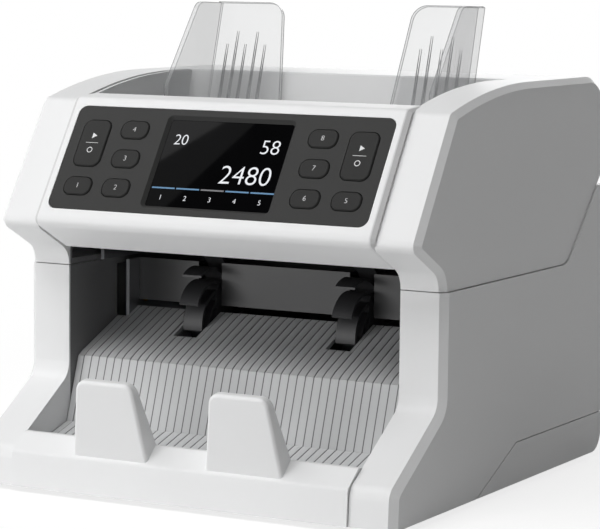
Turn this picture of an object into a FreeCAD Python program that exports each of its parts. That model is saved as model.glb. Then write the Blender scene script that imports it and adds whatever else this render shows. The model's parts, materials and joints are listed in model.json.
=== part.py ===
"""Desktop banknote counting machine: a lower unit with the note pocket and an upper unit, hinged at the
rear, with the display panel and the feed hopper. Lengths in millimetres, angles in degrees.

Sketches measure depth from the front of the cheeks and height from the underside of the casing. Each
sub-part is then placed so that the origin is on the floor under the middle of the machine, with +X to the
viewer's right, +Y to the rear and +Z up.
"""
import FreeCAD, Part
import math
import os
import Sketcher

Vector = FreeCAD.Vector
Rotation = FreeCAD.Rotation

# Driving dimensions: name, value, what it measures
SIZES = (
    ("width", 256, "overall width"),
    ("depth", 268, "front of the cheeks to the rear wall"),
    ("case_height", 218, "underside of the casing to the top deck"),
    ("foot_height", 3, "rubber foot"),
    ("wall", 3, "casing wall"),
    ("cheek_skin", 4, "outer wall of a cheek"),
    ("cheek_width", 26, "one cheek, across"),
    ("upper_inset", 1, "upper casing narrower than the lower, each side"),
    ("seam_gap", 0.5, "gap between casing halves"),
    ("fit_gap", 0.3, "gap between fixed mouldings"),
    ("run_gap", 0.05, "radial running clearance of a shaft"),
    ("proud", 1.5, "lip and power inlet stand proud of the casing"),
    ("panel_proud", 3.2, "front panel stands proud of the cheeks"),
    ("lip_lean", 0.9, "lip front leans back"),
    ("lip_front", 19, "height of the lip's front face"),
    ("crest_depth", 12.2, "depth of the lip's crest"),
    ("crest_height", 27, "height of the lip's crest"),
    ("pillar_depth", 55, "front of the pillar"),
    ("slope_top", 53.5, "top of the cheek's slope"),
    ("slope_round", 12, "round where slope meets pillar"),
    ("nose_round", 9, "top of the cheek's front face"),
    ("lower_bevel", 3.8, "flat bevel along the lower cheek"),
    ("bevel", 3.3, "flat bevel along the upper cheek"),
    ("seam_height", 114, "seam between lower and upper casing"),
    ("seam_round", 16, "bend in that seam"),
    ("base_seam", 22.7, "seam of the base pan at the rear"),
    ("base_start", 96, "depth where the base pan's seam starts"),
    ("base_rise", 51, "run of the slanted base seam"),
    ("heel_round", 12, "rear bottom corner"),
    ("brow_depth", 48.5, "underside of the chin, depth"),
    ("brow_height", 125, "underside of the chin, height"),
    ("brow_round", 12, "hollow between pillar and chin"),
    ("panel_top_depth", 65.5, "upper edge of the front panel, depth"),
    ("panel_top_height", 204.9, "upper edge of the front panel, height"),
    ("panel_angle", 57.2, "front panel above the horizontal"),
    ("panel_length", 79.2, "front panel from chin to upper edge"),
    ("chin_round", 5, "nose of the chin"),
    ("top_round", 6, "upper edge of the front panel"),
    ("panel_round", 2, "side edges of the front panel"),
    ("crown_depth", 163, "depth where the top becomes level"),
    ("crown_radius", 369, "long curve of the top"),
    ("rear_round", 24, "rear top corner"),
    ("hinge_inset", 12, "hinge axis from the rear face"),
    ("hinge_height", 156, "hinge axis height"),
    ("hinge_radius", 3, "hinge pin"),
    ("ear_radius", 7, "hinge ear of a frame plate"),
    ("plate", 2, "frame plate thickness"),
    ("lower_frame_inset", 7, "lower frame plate from the cheek"),
    ("frame_gap", 0.5, "gap between lower and upper frame plates"),
    ("stacker_depth", 124, "stacker shaft, depth"),
    ("stacker_height", 93, "stacker shaft, height"),
    ("stacker_radius", 31, "stacker wheel"),
    ("stacker_width", 12, "stacker wheel, across"),
    ("stacker_offset", 48, "stacker wheel from the middle"),
    ("vane_count", 12, "vanes of a stacker wheel"),
    ("vane", 1.6, "vane thickness"),
    ("hub_radius", 11, "stacker wheel hub"),
    ("shaft_radius", 4, "all driven shafts"),
    ("transport_depth", 164, "transport shaft, depth"),
    ("transport_radius", 13, "transport roller"),
    ("pressure_radius", 6, "pressure roller"),
    ("roller_width", 16, "transport and pressure roller, across"),
    ("roller_inner", 20, "inner pair of rollers from the middle"),
    ("roller_outer", 72, "outer pair of rollers from the middle"),
    ("path_height", 114, "middle of the level note path"),
    ("nip_gap", 0.3, "gap between roller pairs"),
    ("path_gap", 2, "gap between lower and upper guide"),
    ("guide_wall", 2, "note guide thickness"),
    ("feed_depth", 190, "feed shaft, depth"),
    ("feed_height", 141, "feed shaft, height"),
    ("feed_radius", 26, "feed roller"),
    ("feed_width", 18, "feed roller, across"),
    ("feed_offset", 24, "feed and pick-up rollers from the middle"),
    ("wrap_gap", 1.5, "gap between feed roller and curved guide"),
    ("pickup_depth", 146, "pick-up shaft, depth"),
    ("pickup_radius", 13, "pick-up roller"),
    ("roller_rise", 0.9, "rollers stand above the hopper floor"),
    ("hopper_depth", 78.4, "front of the hopper floor"),
    ("hopper_height", 192, "hopper floor at its front"),
    ("hopper_slope", 13, "hopper floor falls to the rear"),
    ("floor", 3, "hopper floor thickness, measured upright"),
    ("hopper_wall", 2, "hopper wall"),
    ("throat_depth", 176, "rear end of the hopper floor"),
    ("belt", 1.5, "drive belt thickness"),
    ("belt_gap", 0.3, "gap between belt and pulley"),
    ("pulley_width", 8, "pulley, across"),
    ("pulley_inset", 2, "pulley from the cheek's inner face"),
    ("stacker_pulley_radius", 15, "stacker pulley"),
    ("transport_pulley_radius", 7, "transport pulley"),
    ("motor_pulley_radius", 6, "both motor pulleys"),
    ("feed_pulley_radius", 14, "feed pulley"),
    ("pickup_pulley_radius", 8, "pick-up pulley"),
    ("motor_depth", 186, "transport motor, depth"),
    ("motor_height", 58, "transport motor, height"),
    ("motor_radius", 20, "transport motor"),
    ("hopper_motor_depth", 104, "hopper motor, depth"),
    ("hopper_motor_height", 22.8, "hopper motor above the pocket's ceiling"),
    ("hopper_motor_radius", 16, "hopper motor"),
    ("motor_length", 52, "both motors"),
    ("motor_shaft_radius", 2.5, "both motor shafts"),
    ("bush_wall", 2, "bush wall"),
    ("plate_panel", 2, "keypad panel thickness"),
    ("keypad_width", 193.6, "keypad panel, across"),
    ("keypad_top", 5.9, "keypad panel below the panel's upper edge"),
    ("keypad_height", 63.4, "keypad panel, down the slope"),
    ("keypad_round", 5, "keypad panel corner"),
    ("screen_width", 75.2, "screen window, across"),
    ("screen_top", 11.3, "screen window below the panel's upper edge"),
    ("screen_height", 52.5, "screen window, down the slope"),
    ("screen_bevel", 1.8, "bevel round the screen window"),
    ("key_width", 16.9, "key, across"),
    ("key_height", 10.8, "small key"),
    ("tall_key_height", 28.4, "tall key"),
    ("key_round", 4.6, "key corner"),
    ("key_rise", 0.7, "key above the keypad panel"),
    ("key_gap", 0.4, "gap round a key"),
    ("flange", 1.4, "key flange"),
    ("inner_column", 57.5, "inner key column from the middle"),
    ("outer_column", 81.6, "outer key column from the middle"),
    ("first_row", 19.7, "upper key row below the panel's upper edge"),
    ("row_pitch", 17.8, "key rows"),
    ("tall_row", 28.9, "tall key below the panel's upper edge"),
    ("tab_offset", 40.5, "stop tab from the middle"),
    ("tab_foot", 45, "stop tab width at its foot"),
    ("tab_top", 34, "stop tab width at its top"),
    ("tab_length", 39, "stop tab height along its lean"),
    ("tab_foot_thick", 13, "stop tab thickness at its foot"),
    ("tab_top_thick", 6.2, "stop tab thickness at its top"),
    ("tab_lean", 9.6, "front of the stop tab leans forward"),
    ("tab_round", 2, "edge of a stop tab"),
    ("guide_reach", 83.5, "note guide from the middle"),
    ("guide_thick", 3, "note guide wall"),
    ("guide_top", 257, "top of the note guides"),
    ("guide_lean", 15.4, "rear wing leans back"),
    ("guide_round", 9, "note guide corner"),
    ("module", 1, "rack tooth module"),
    ("pinion_teeth", 16, "teeth of the guide pinion"),
    ("tooth_play", 0.16, "rack backlash"),
    ("pinion_run", 42, "pinion from the hopper front, along the floor"),
    ("neck_run", 58, "guide neck from the hopper front, along the floor"),
    ("guide_in", 27, "guide travel inwards"),
    ("guide_out", 10, "guide travel outwards"),
    ("rack_thick", 5, "rack"),
    ("inlet_offset", 17, "middle of the power inlet from the side plate"),
    ("inlet_height", 66, "power inlet, middle"),
    ("inlet_width", 28, "power inlet body, across"),
    ("inlet_tall", 48, "power inlet body, upright"),
    ("screw_radius", 1.5, "case screw"),
)


class Size:
    """A size with its value and the sheet formula that gives it, so that sums of sizes stay bound."""

    def __init__(self, value, formula):
        self.value = float(value)
        self.formula = formula

    def joined(self, other, sign, value):
        return Size(value, "(%s %s %s)" % (self.formula, sign, of(other).formula))

    def __add__(self, other):
        return self.joined(other, "+", self.value + of(other).value)

    def __radd__(self, other):
        return of(other) + self

    def __sub__(self, other):
        return self.joined(other, "-", self.value - of(other).value)

    def __rsub__(self, other):
        return of(other) - self

    def __mul__(self, other):
        return self.joined(other, "*", self.value * of(other).value)

    def __rmul__(self, other):
        return of(other) * self

    def __truediv__(self, other):
        return self.joined(other, "/", self.value / of(other).value)

    def __neg__(self):
        return Size(-self.value, "(0 - %s)" % self.formula)


def of(number):
    return number if isinstance(number, Size) else Size(number, repr(float(number)))


def turned_by(name, function, angle):
    return Size(function(math.radians(of(angle).value)), "%s(%s)" % (name, of(angle).formula))


def sine(angle):
    return turned_by("sin", math.sin, angle)


def cosine(angle):
    return turned_by("cos", math.cos, angle)


def tangent(angle):
    return turned_by("tan", math.tan, angle)


doc = FreeCAD.newDocument("banknote_counter")
sheet = doc.addObject("Spreadsheet::Sheet", "Sizes")
for row, (alias, number, note) in enumerate(SIZES, start=1):
    sheet.set("A%d" % row, str(number))
    sheet.setAlias("A%d" % row, alias)
    sheet.set("B%d" % row, note)
doc.recompute()


class Sheet:
    """Each named size of the sheet, as a Size."""


S = Sheet()
for alias, number, note in SIZES:
    setattr(S, alias, Size(sheet.get(alias), "Sizes." + alias))

# Levels and places that several pieces share
HALF = S.width / 2
UPPER_HALF = HALF - S.upper_inset
INNER = HALF - S.cheek_width
LOWER_TOP = S.seam_height - S.seam_gap / 2
UPPER_FOOT = S.seam_height + S.seam_gap / 2
HINGE_DEPTH = S.depth - S.hinge_inset
SEAM_BEND = HINGE_DEPTH - (S.hinge_height - S.seam_height)
LOWER_OUT = INNER - S.lower_frame_inset + S.plate
LOWER_IN = LOWER_OUT - S.plate
UPPER_IN = LOWER_OUT + S.frame_gap
UPPER_OUT = UPPER_IN + S.plate
PATH_LOW = S.path_height - S.path_gap / 2
PATH_HIGH = S.path_height + S.path_gap / 2
TRANSPORT_HEIGHT = S.path_height - S.nip_gap / 2 - S.transport_radius
PRESSURE_HEIGHT = S.path_height + S.nip_gap / 2 + S.pressure_radius
CEILING = S.stacker_height + S.stacker_radius + 4.2
HOPPER_MOTOR_HEIGHT = CEILING + S.hopper_motor_height
INLET_X = S.inlet_offset - LOWER_IN
PULLEY_IN = INNER + S.pulley_inset + 2
PULLEY_OUT = PULLEY_IN + S.pulley_width
PANEL_COS = cosine(S.panel_angle)
PANEL_SIN = sine(S.panel_angle)
CHIN_DEPTH = S.panel_top_depth - S.panel_length * PANEL_COS
CHIN_HEIGHT = S.panel_top_height - S.panel_length * PANEL_SIN
FACE_DEPTH = S.panel_top_depth - S.panel_proud * PANEL_SIN
FACE_HEIGHT = S.panel_top_height + S.panel_proud * PANEL_COS
SLOPE = tangent(S.hopper_slope)
TAB_FRONT, TAB_FOOT = 0.34, S.crest_height - 4
TAB_DEPTH = TAB_FRONT + S.tab_foot_thick * cosine(S.tab_lean)
TAB_HEIGHT = TAB_FOOT + S.tab_foot_thick * sine(S.tab_lean)
TAB_TOP_DEPTH = TAB_FRONT - S.tab_length * sine(S.tab_lean)
TAB_TOP_HEIGHT = TAB_FOOT + S.tab_length * cosine(S.tab_lean)
FOREMOST = TAB_TOP_DEPTH + S.tab_round * (sine(S.tab_lean) + cosine(S.tab_lean) - 1)
MIDDLE = (S.depth + S.proud + FOREMOST) / 2


def floor_at(depth):
    """Height of the hopper floor at a depth."""
    return S.hopper_height - (depth - S.hopper_depth) * SLOPE


PICKUP_HEIGHT = floor_at(S.pickup_depth) + S.roller_rise - S.pickup_radius
PITCH_RADIUS = S.module * S.pinion_teeth / 2

nodes = {}


def bind(thing, name, size):
    thing.setExpression(name, of(size).formula)


def place(thing, x=0, depth=0, height=0, turn=None):
    """Puts a piece at a depth and height of the machine, turned about an axis if asked."""
    if turn:
        axis, angle = turn
        thing.Placement = FreeCAD.Placement(Vector(), Rotation(axis, of(angle).value))
        if of(angle).value:
            bind(thing, "Placement.Rotation.Angle", angle)
    bind(thing, "Placement.Base.x", x)
    bind(thing, "Placement.Base.y", of(depth) - MIDDLE)
    bind(thing, "Placement.Base.z", of(height) + S.foot_height)


def keep(label, thing):
    """Names a finished sub-part, whose label is also its file's name."""
    thing.Label = label
    nodes[label] = thing
    return thing


def new_body(name):
    return doc.addObject("PartDesign::Body", name)


def new_sketch(body, role, level=0, tilt=None):
    """A sketch on an origin plane of the body, raised by level, or tilted about X at a depth and height."""
    sketch = body.newObject("Sketcher::SketchObject", body.Name + "_sketch")
    plane = next(item for item in body.Origin.OriginFeatures if item.Role == role)
    sketch.AttachmentSupport = [(plane, "")]
    sketch.MapMode = "FlatFace"
    if tilt is None:
        bind(sketch, "AttachmentOffset.Base.z", level)
        return sketch
    depth, height, angle = (of(item) for item in tilt)
    sketch.AttachmentOffset = FreeCAD.Placement(Vector(), Rotation(Vector(1, 0, 0), angle.value))
    rise = of(level)
    bind(sketch, "AttachmentOffset.Base.y", depth - rise * sine(angle))
    bind(sketch, "AttachmentOffset.Base.z", height + rise * cosine(angle))
    bind(sketch, "AttachmentOffset.Rotation.Angle", angle)
    return sketch


def constrain(sketch, constraints, sizes):
    """Adds constraints together, then binds each one that has a size from the sheet."""
    first = sketch.ConstraintCount
    sketch.addConstraint(constraints)
    for index, size in enumerate(sizes, start=first):
        if size is not None and "Sizes." in size.formula:
            sketch.setExpression("Constraints[%d]" % index, size.formula)


def arc_between(start, end, radius):
    """An arc from start to end, anticlockwise for a positive radius."""
    chord = end - start
    across = Vector(-chord.y, chord.x, 0).normalize()
    reach = math.sqrt(radius ** 2 - (chord.Length / 2) ** 2)
    centre = (start + end) / 2 + across * math.copysign(reach, radius)
    ends = (start, end) if radius > 0 else (end, start)
    angles = [math.atan2(p.y - centre.y, p.x - centre.x) for p in ends]
    return Part.ArcOfCircle(Part.Circle(centre, Vector(0, 0, 1), abs(radius)), *angles)


def draw(sketch, points, arcs=None):
    """A closed outline through points; arcs gives a stretch's radius by its first point's number, positive
    where the outline turns left along it."""
    arcs = {number: of(radius) for number, radius in (arcs or {}).items()}
    corners = [(of(u), of(v)) for u, v in points]
    places = [Vector(u.value, v.value, 0) for u, v in corners]
    count = len(corners)
    first = sketch.GeometryCount
    ends, pieces = [], []
    for index in range(count):
        start, end = places[index], places[(index + 1) % count]
        if index in arcs:
            radius = arcs[index].value
            ends.append((1, 2) if radius > 0 else (2, 1))
            pieces.append(arc_between(start, end, radius))
        else:
            ends.append((1, 2))
            pieces.append(Part.LineSegment(start, end))
    sketch.addGeometry(pieces, False)
    constraints, sizes = [], []
    for index in range(count):
        after = (index + 1) % count
        near, far = ends[index][1], ends[after][0]
        constraints.append(Sketcher.Constraint("Coincident", first + index, near, first + after, far))
        sizes.append(None)
    for index, (u, v) in enumerate(corners):
        for kind, size in (("DistanceX", u), ("DistanceY", v)):
            constraints.append(Sketcher.Constraint(kind, first + index, ends[index][0], size.value))
            sizes.append(size)
    for index, radius in arcs.items():
        size = radius if radius.value > 0 else -radius
        constraints.append(Sketcher.Constraint("Radius", first + index, size.value))
        sizes.append(size)
    constrain(sketch, constraints, sizes)


def draw_box(sketch, u, v, wide, tall, corner=None):
    """A rectangle about (u, v), with round corners if a radius is given."""
    left, right = of(u) - of(wide) / 2, of(u) + of(wide) / 2
    low, high = of(v) - of(tall) / 2, of(v) + of(tall) / 2
    if corner is None:
        draw(sketch, [(left, low), (right, low), (right, high), (left, high)])
        return
    c = of(corner)
    points = [
        (left + c, low), (right - c, low), (right, low + c), (right, high - c),
        (right - c, high), (left + c, high), (left, high - c), (left, low + c),
    ]
    draw(sketch, points, {1: c, 3: c, 5: c, 7: c})


def draw_circle(sketch, u, v, radius):
    u, v, radius = of(u), of(v), of(radius)
    circle = Part.Circle(Vector(u.value, v.value, 0), Vector(0, 0, 1), radius.value)
    index = sketch.addGeometry(circle, False)
    constraints = [
        Sketcher.Constraint("DistanceX", index, 3, u.value),
        Sketcher.Constraint("DistanceY", index, 3, v.value),
        Sketcher.Constraint("Radius", index, radius.value),
    ]
    constrain(sketch, constraints, [u, v, radius])


def pad(body, sketch, length):
    feature = body.newObject("PartDesign::Pad", body.Name + "_pad")
    feature.Profile = sketch
    bind(feature, "Length", length)
    doc.recompute()
    return feature


def pocket(body, sketch, length):
    """Cuts from the sketch against its normal, and checks that something was cut."""
    before = body.Shape.Volume
    feature = body.newObject("PartDesign::Pocket", body.Name + "_pocket")
    feature.Profile = sketch
    bind(feature, "Length", length)
    doc.recompute()
    if body.Shape.Volume > before - 0.01:
        raise RuntimeError("a pocket of %s cuts nothing" % body.Name)
    return feature


def side_pad(body, points, low, high, arcs=None):
    """Pads a depth and height outline from one x to another."""
    sketch = new_sketch(body, "YZ_Plane", low)
    draw(sketch, points, arcs)
    return pad(body, sketch, of(high) - of(low))


def side_cut(body, points, low, high, arcs=None):
    sketch = new_sketch(body, "YZ_Plane", high)
    draw(sketch, points, arcs)
    return pocket(body, sketch, of(high) - of(low))


def plan_cut(body, boxes, low, high):
    """Cuts plan rectangles, each given by its x and depth limits, between two heights."""
    sketch = new_sketch(body, "XY_Plane", high)
    for left, right, front, rear in boxes:
        draw(sketch, [(left, front), (right, front), (right, rear), (left, rear)])
    return pocket(body, sketch, of(high) - of(low))


def edge_names(shape, test):
    return ["Edge%d" % (n + 1) for n, edge in enumerate(shape.Edges) if test(edge)]


def across_at(depth, height):
    """Picks straight edges along X at a depth and height."""
    def test(edge):
        ends = [v.Point for v in edge.Vertexes]
        if len(ends) != 2 or abs(ends[0].x - ends[1].x) < 0.5:
            return False
        return all(abs(p.y - of(depth).value) < 0.05 and abs(p.z - of(height).value) < 0.05 for p in ends)
    return test


def dress(body, kind, edges, size):
    """Rounds or bevels edges of the body's last feature."""
    if not edges:
        raise RuntimeError("no edge of %s to dress" % body.Name)
    base = body.Tip
    feature = body.newObject("PartDesign::" + kind, body.Name + "_" + kind.lower())
    feature.Base = (base, edges)
    bind(feature, "Radius" if kind == "Fillet" else "Size", size)
    doc.recompute()
    return feature


def round_across(body, depth, height, radius):
    return dress(body, "Fillet", edge_names(body.Shape, across_at(depth, height)), radius)


def settle(body, label):
    """Moves a body drawn in the machine's depths and heights to its place."""
    place(body)
    return keep(label, body)


def turned(name, points, depth, height):
    """A turned piece along X: points give x and radius."""
    body = new_body(name)
    sketch = new_sketch(body, "XY_Plane")
    draw(sketch, points)
    feature = body.newObject("PartDesign::Revolution", name + "_turn")
    feature.Profile = sketch
    feature.ReferenceAxis = (sketch, ["H_Axis"])
    feature.Angle = 360
    place(body, 0, depth, height)
    doc.recompute()
    return body


def ring(name, low, high, inner, outer, depth, height):
    points = [(low, inner), (high, inner), (high, outer), (low, outer)]
    return turned(name, points, depth, height)


def rod(name, low, high, radius, depth, height):
    return turned(name, [(low, 0), (high, 0), (high, radius), (low, radius)], depth, height)


def mirrored(source, name):
    """The same piece on the other side of the machine."""
    twin = doc.addObject("Part::Mirroring", name)
    twin.Source = source
    twin.Normal = Vector(1, 0, 0)
    return twin


def grouped(label, members):
    group = doc.addObject("Part::Compound", label)
    group.Links = members
    return keep(label, group)


def block(name, x, y, z):
    """A box between limits across, in depth and in height."""
    box = doc.addObject("Part::Box", name)
    for side, (low, high) in zip(("Length", "Width", "Height"), (x, y, z)):
        bind(box, side, of(high) - of(low))
    place(box, x[0], y[0], z[0])
    return box


def joined(name, members):
    fuse = doc.addObject("Part::MultiFuse", name)
    fuse.Shapes = members
    return fuse


def less(name, base, tool):
    cut = doc.addObject("Part::Cut", name)
    cut.Base = base
    cut.Tool = tool
    return cut


def upright(name, radius, x, depth, low, high):
    post = doc.addObject("Part::Cylinder", name)
    bind(post, "Radius", radius)
    bind(post, "Height", of(high) - of(low))
    place(post, x, depth, low)
    return post


# Lower casing and base

def outer_edges(half, low_height):
    """Edges along the outer side of a casing of half a width, above a height."""
    limit = half.value - 0.01

    def test(edge):
        middle = edge.valueAt((edge.FirstParameter + edge.LastParameter) / 2)
        ends = [v.Point for v in edge.Vertexes] + [middle]
        return all(abs(p.x) > limit and p.z > low_height for p in ends)
    return test


def make_lower_housing():
    body = new_body("lower_housing")
    base_high = S.base_seam + S.seam_gap / 2
    hinge_foot = S.hinge_height - S.seam_gap / 2
    outline = [
        (0, 0), (S.base_start, 0), (S.base_start + S.base_rise, base_high), (S.depth, base_high),
        (S.depth, hinge_foot), (HINGE_DEPTH, hinge_foot), (SEAM_BEND, LOWER_TOP),
        (S.pillar_depth, LOWER_TOP), (S.pillar_depth, S.slope_top), (S.lip_lean, S.lip_front),
    ]
    side_pad(body, outline, -HALF, HALF)
    round_across(body, S.lip_lean, S.lip_front, S.nose_round)
    round_across(body, S.pillar_depth, S.slope_top, S.slope_round)
    round_across(body, SEAM_BEND, LOWER_TOP, S.seam_round)
    edges = []
    for name in edge_names(body.Shape, outer_edges(HALF, -1)):
        edge = body.Shape.Edges[int(name[4:]) - 1]
        middle = edge.valueAt((edge.FirstParameter + edge.LastParameter) / 2)
        if middle.y < S.pillar_depth.value + 0.1 and 0.1 < middle.z < LOWER_TOP.value - 0.1:
            edges.append(name)
    dress(body, "Chamfer", edges, S.lower_bevel)
    # Hollow cheeks, closed towards the pocket and open towards the works
    low = S.base_seam + S.wall + S.seam_gap
    high = LOWER_TOP - S.wall
    hollow = [
        (S.pillar_depth + S.wall, S.wall), (S.base_start, S.wall),
        (S.base_start + S.base_rise + S.wall, low),
        (HINGE_DEPTH - S.wall * 2, low), (HINGE_DEPTH - S.wall * 2, hinge_foot - S.wall * 4.4),
        (SEAM_BEND + S.wall * 0.4, high), (S.pillar_depth + S.wall, high),
    ]
    inside = INNER + S.hopper_wall
    opening = S.stacker_depth - 20
    works = [
        (opening, S.wall + 10), (S.base_start + S.base_rise, low + 3), (HINGE_DEPTH - S.wall * 3, low + 3),
        (HINGE_DEPTH - S.wall * 3, hinge_foot - S.wall * 6), (SEAM_BEND, high - 0.5), (opening, high - 0.5),
    ]
    for side in (1, -1):
        limits = sorted((side * inside, side * (HALF - S.cheek_skin)), key=lambda s: s.value)
        side_cut(body, hollow, *limits)
        limits = sorted((side * (INNER - 1), side * (inside + 1)), key=lambda s: s.value)
        side_cut(body, works, *limits)
    # Pocket and works between the cheeks, with the rear wall left standing
    plan_cut(body, [(-INNER, INNER, -1, S.depth - S.wall)], -1, S.case_height)
    make_rear_openings(body)
    make_board_bosses(body)
    settle(body, "lower_housing")


# The control board stands on bosses of the rear wall, its sockets reach through the wall
BOARD = {"left": 5, "right": 90, "low": 34, "high": 100, "gap": 8, "thick": 1.6}
SOCKETS = ((18, 45, 16, 14), (42, 43, 14, 8), (64, 43, 14, 8))
SOCKET_GAP = 0.5
VENTS = ((-40, 104, 7), (44, 112, 6))
VENT_PITCH = 6
VENT_TALL = 2.4


def make_rear_openings(body):
    """Inlet, sockets and vents through the rear wall; the wall's outline is seen from the rear."""
    sketch = new_sketch(body, "XZ_Plane", -(S.depth - S.wall - 1))
    draw_box(sketch, INLET_X, S.inlet_height, S.inlet_width, S.inlet_tall)
    for x, height, wide, tall in SOCKETS:
        draw_box(sketch, x, height, wide + 2 * SOCKET_GAP, tall + 2 * SOCKET_GAP)
    for x, lowest, count in VENTS:
        for index in range(count):
            draw_box(sketch, x, lowest + VENT_PITCH * index, 70, VENT_TALL)
    pocket(body, sketch, S.wall + 2)


def make_board_bosses(body):
    sketch = new_sketch(body, "XZ_Plane", -(S.depth - S.wall))
    for x in (BOARD["left"] + 5, BOARD["right"] - 5):
        for height in (BOARD["low"] + 4 + 20, BOARD["high"] - 5):
            draw_circle(sketch, x, height, 3)
    pad(body, sketch, BOARD["gap"])


def make_base_pan():
    body = new_body("base_pan")
    high = S.base_seam - S.seam_gap / 2
    start = S.base_start + S.seam_gap * S.base_rise / (high + S.seam_gap)
    outline = [(start, 0), (S.depth, 0), (S.depth, high), (S.base_start + S.base_rise, high)]
    side_pad(body, outline, -HALF, HALF)
    round_across(body, S.depth, 0, S.heel_round)
    inner = HALF - S.wall
    plan_cut(body, [(-inner, inner, S.base_start - 1, S.depth - S.wall)], S.wall, S.case_height)
    tongue = new_sketch(body, "XY_Plane")
    wide = INNER - S.fit_gap
    draw(tongue, [(-wide, 4), (wide, 4), (wide, S.base_start + 20), (-wide, S.base_start + 20)])
    pad(body, tongue, S.wall)
    posts = new_sketch(body, "XY_Plane")
    for x, depth in screw_places():
        draw_circle(posts, x, depth, S.screw_radius * 3)
    pad(body, posts, high)
    heads = new_sketch(body, "XY_Plane", 8)
    for x, depth in screw_places():
        draw_circle(heads, x, depth, S.screw_radius * 2)
    pocket(body, heads, 8)
    holes = new_sketch(body, "XY_Plane", high)
    for x, depth in screw_places():
        draw_circle(holes, x, depth, S.screw_radius + 0.1)
    pocket(body, holes, high)
    settle(body, "base_pan")


def screw_places():
    out = INNER + S.cheek_width / 2
    return [(side * out, depth) for side in (1, -1) for depth in (S.base_start + 72, S.depth - 26)]


def make_case_screws():
    """Screws up through the base pan's posts into the lower casing."""
    members = []
    for number, (x, depth) in enumerate(screw_places()):
        head = upright("screw_head_%d" % number, S.screw_radius * 1.85, x, depth, 5.6, 8)
        shank = upright("screw_shank_%d" % number, S.screw_radius, x, depth, 8, S.base_seam)
        members.append(joined("screw_%d" % number, [head, shank]))
    grouped("case_screws", members)


def make_rubber_feet():
    members = []
    for number, (x, depth) in enumerate(
        ((INNER - 16, of(30)), (16 - INNER, of(30)), (INNER, S.depth - 32), (-INNER, S.depth - 32))
    ):
        foot = doc.addObject("Part::Cone", "foot_%d" % number)
        foot.Radius1 = 7
        foot.Radius2 = 9
        bind(foot, "Height", S.foot_height)
        place(foot, x, depth, -S.foot_height)
        members.append(foot)
    grouped("rubber_feet", members)


# Note pocket

def make_front_lip():
    body = new_body("front_lip")
    skin = S.wall - 0.4
    back = S.crest_depth + skin
    outline = [
        (-S.proud, 0), (S.lip_lean - S.proud, S.lip_front), (S.crest_depth - 1, S.crest_height + 1),
        (back, S.crest_height + 1),
        (back, 11), (back - skin, 11), (back - skin, S.crest_height - 3), (skin, S.lip_front - 2.5),
        (skin - S.proud, 0),
    ]
    wide = INNER - S.fit_gap
    side_pad(body, outline, -wide, wide)
    round_across(body, S.lip_lean - S.proud, S.lip_front, 2.5)
    round_across(body, back, S.crest_height + 1, 1.2)
    round_across(body, S.crest_depth - 1, S.crest_height + 1, 2)
    root = 5
    for side in (1, -1):
        tab = new_sketch(body, "XY_Plane", 0, (TAB_DEPTH, TAB_HEIGHT, 90 + S.tab_lean))
        foot, top = S.tab_foot / 2, S.tab_top / 2
        flare = (foot - top) / S.tab_length * root
        middle = side * S.tab_offset
        high = S.tab_length
        low_left, low_right = (middle - foot - flare, -root), (middle + foot + flare, -root)
        draw(tab, [low_left, low_right, (middle + top, high), (middle - top, high)])
        pad(body, tab, S.tab_foot_thick)
    # The back of the tabs leans more than the front, so they taper upwards
    heel = S.crest_height + 1.05
    crown = TAB_TOP_DEPTH + S.tab_top_thick * cosine(S.tab_lean)
    crown_height = TAB_TOP_HEIGHT + S.tab_top_thick * sine(S.tab_lean)
    clear, far = TAB_TOP_HEIGHT + 10, back + 20
    behind = [(back - 1.6, heel), (crown, crown_height), (crown, clear), (far, clear), (far, heel)]
    side_cut(body, behind, -wide, wide)
    corner = 6
    for side in (1, -1):
        edges = []
        for name in edge_names(body.Shape, lambda e: True):
            edge = body.Shape.Edges[int(name[4:]) - 1]
            ends = [v.Point for v in edge.Vertexes]
            if len(ends) == 2 and all(p.z > S.crest_height.value + 20 and p.x * side > 0 for p in ends):
                along = ends[1] - ends[0]
                if abs(along.x) < 0.5 and abs(along.z) < 4:
                    edges.append(name)
        dress(body, "Fillet", edges, corner)
        edges = []
        for name in edge_names(body.Shape, lambda e: True):
            edge = body.Shape.Edges[int(name[4:]) - 1]
            middle_point = edge.valueAt((edge.FirstParameter + edge.LastParameter) / 2)
            faces_round = all(v.Point.z > S.crest_height.value + 1.5 for v in edge.Vertexes)
            if faces_round and middle_point.x * side > 0 and middle_point.z > S.crest_height.value + 25:
                edges.append(name)
        dress(body, "Fillet", edges, S.tab_round)
    settle(body, "front_lip")


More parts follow.
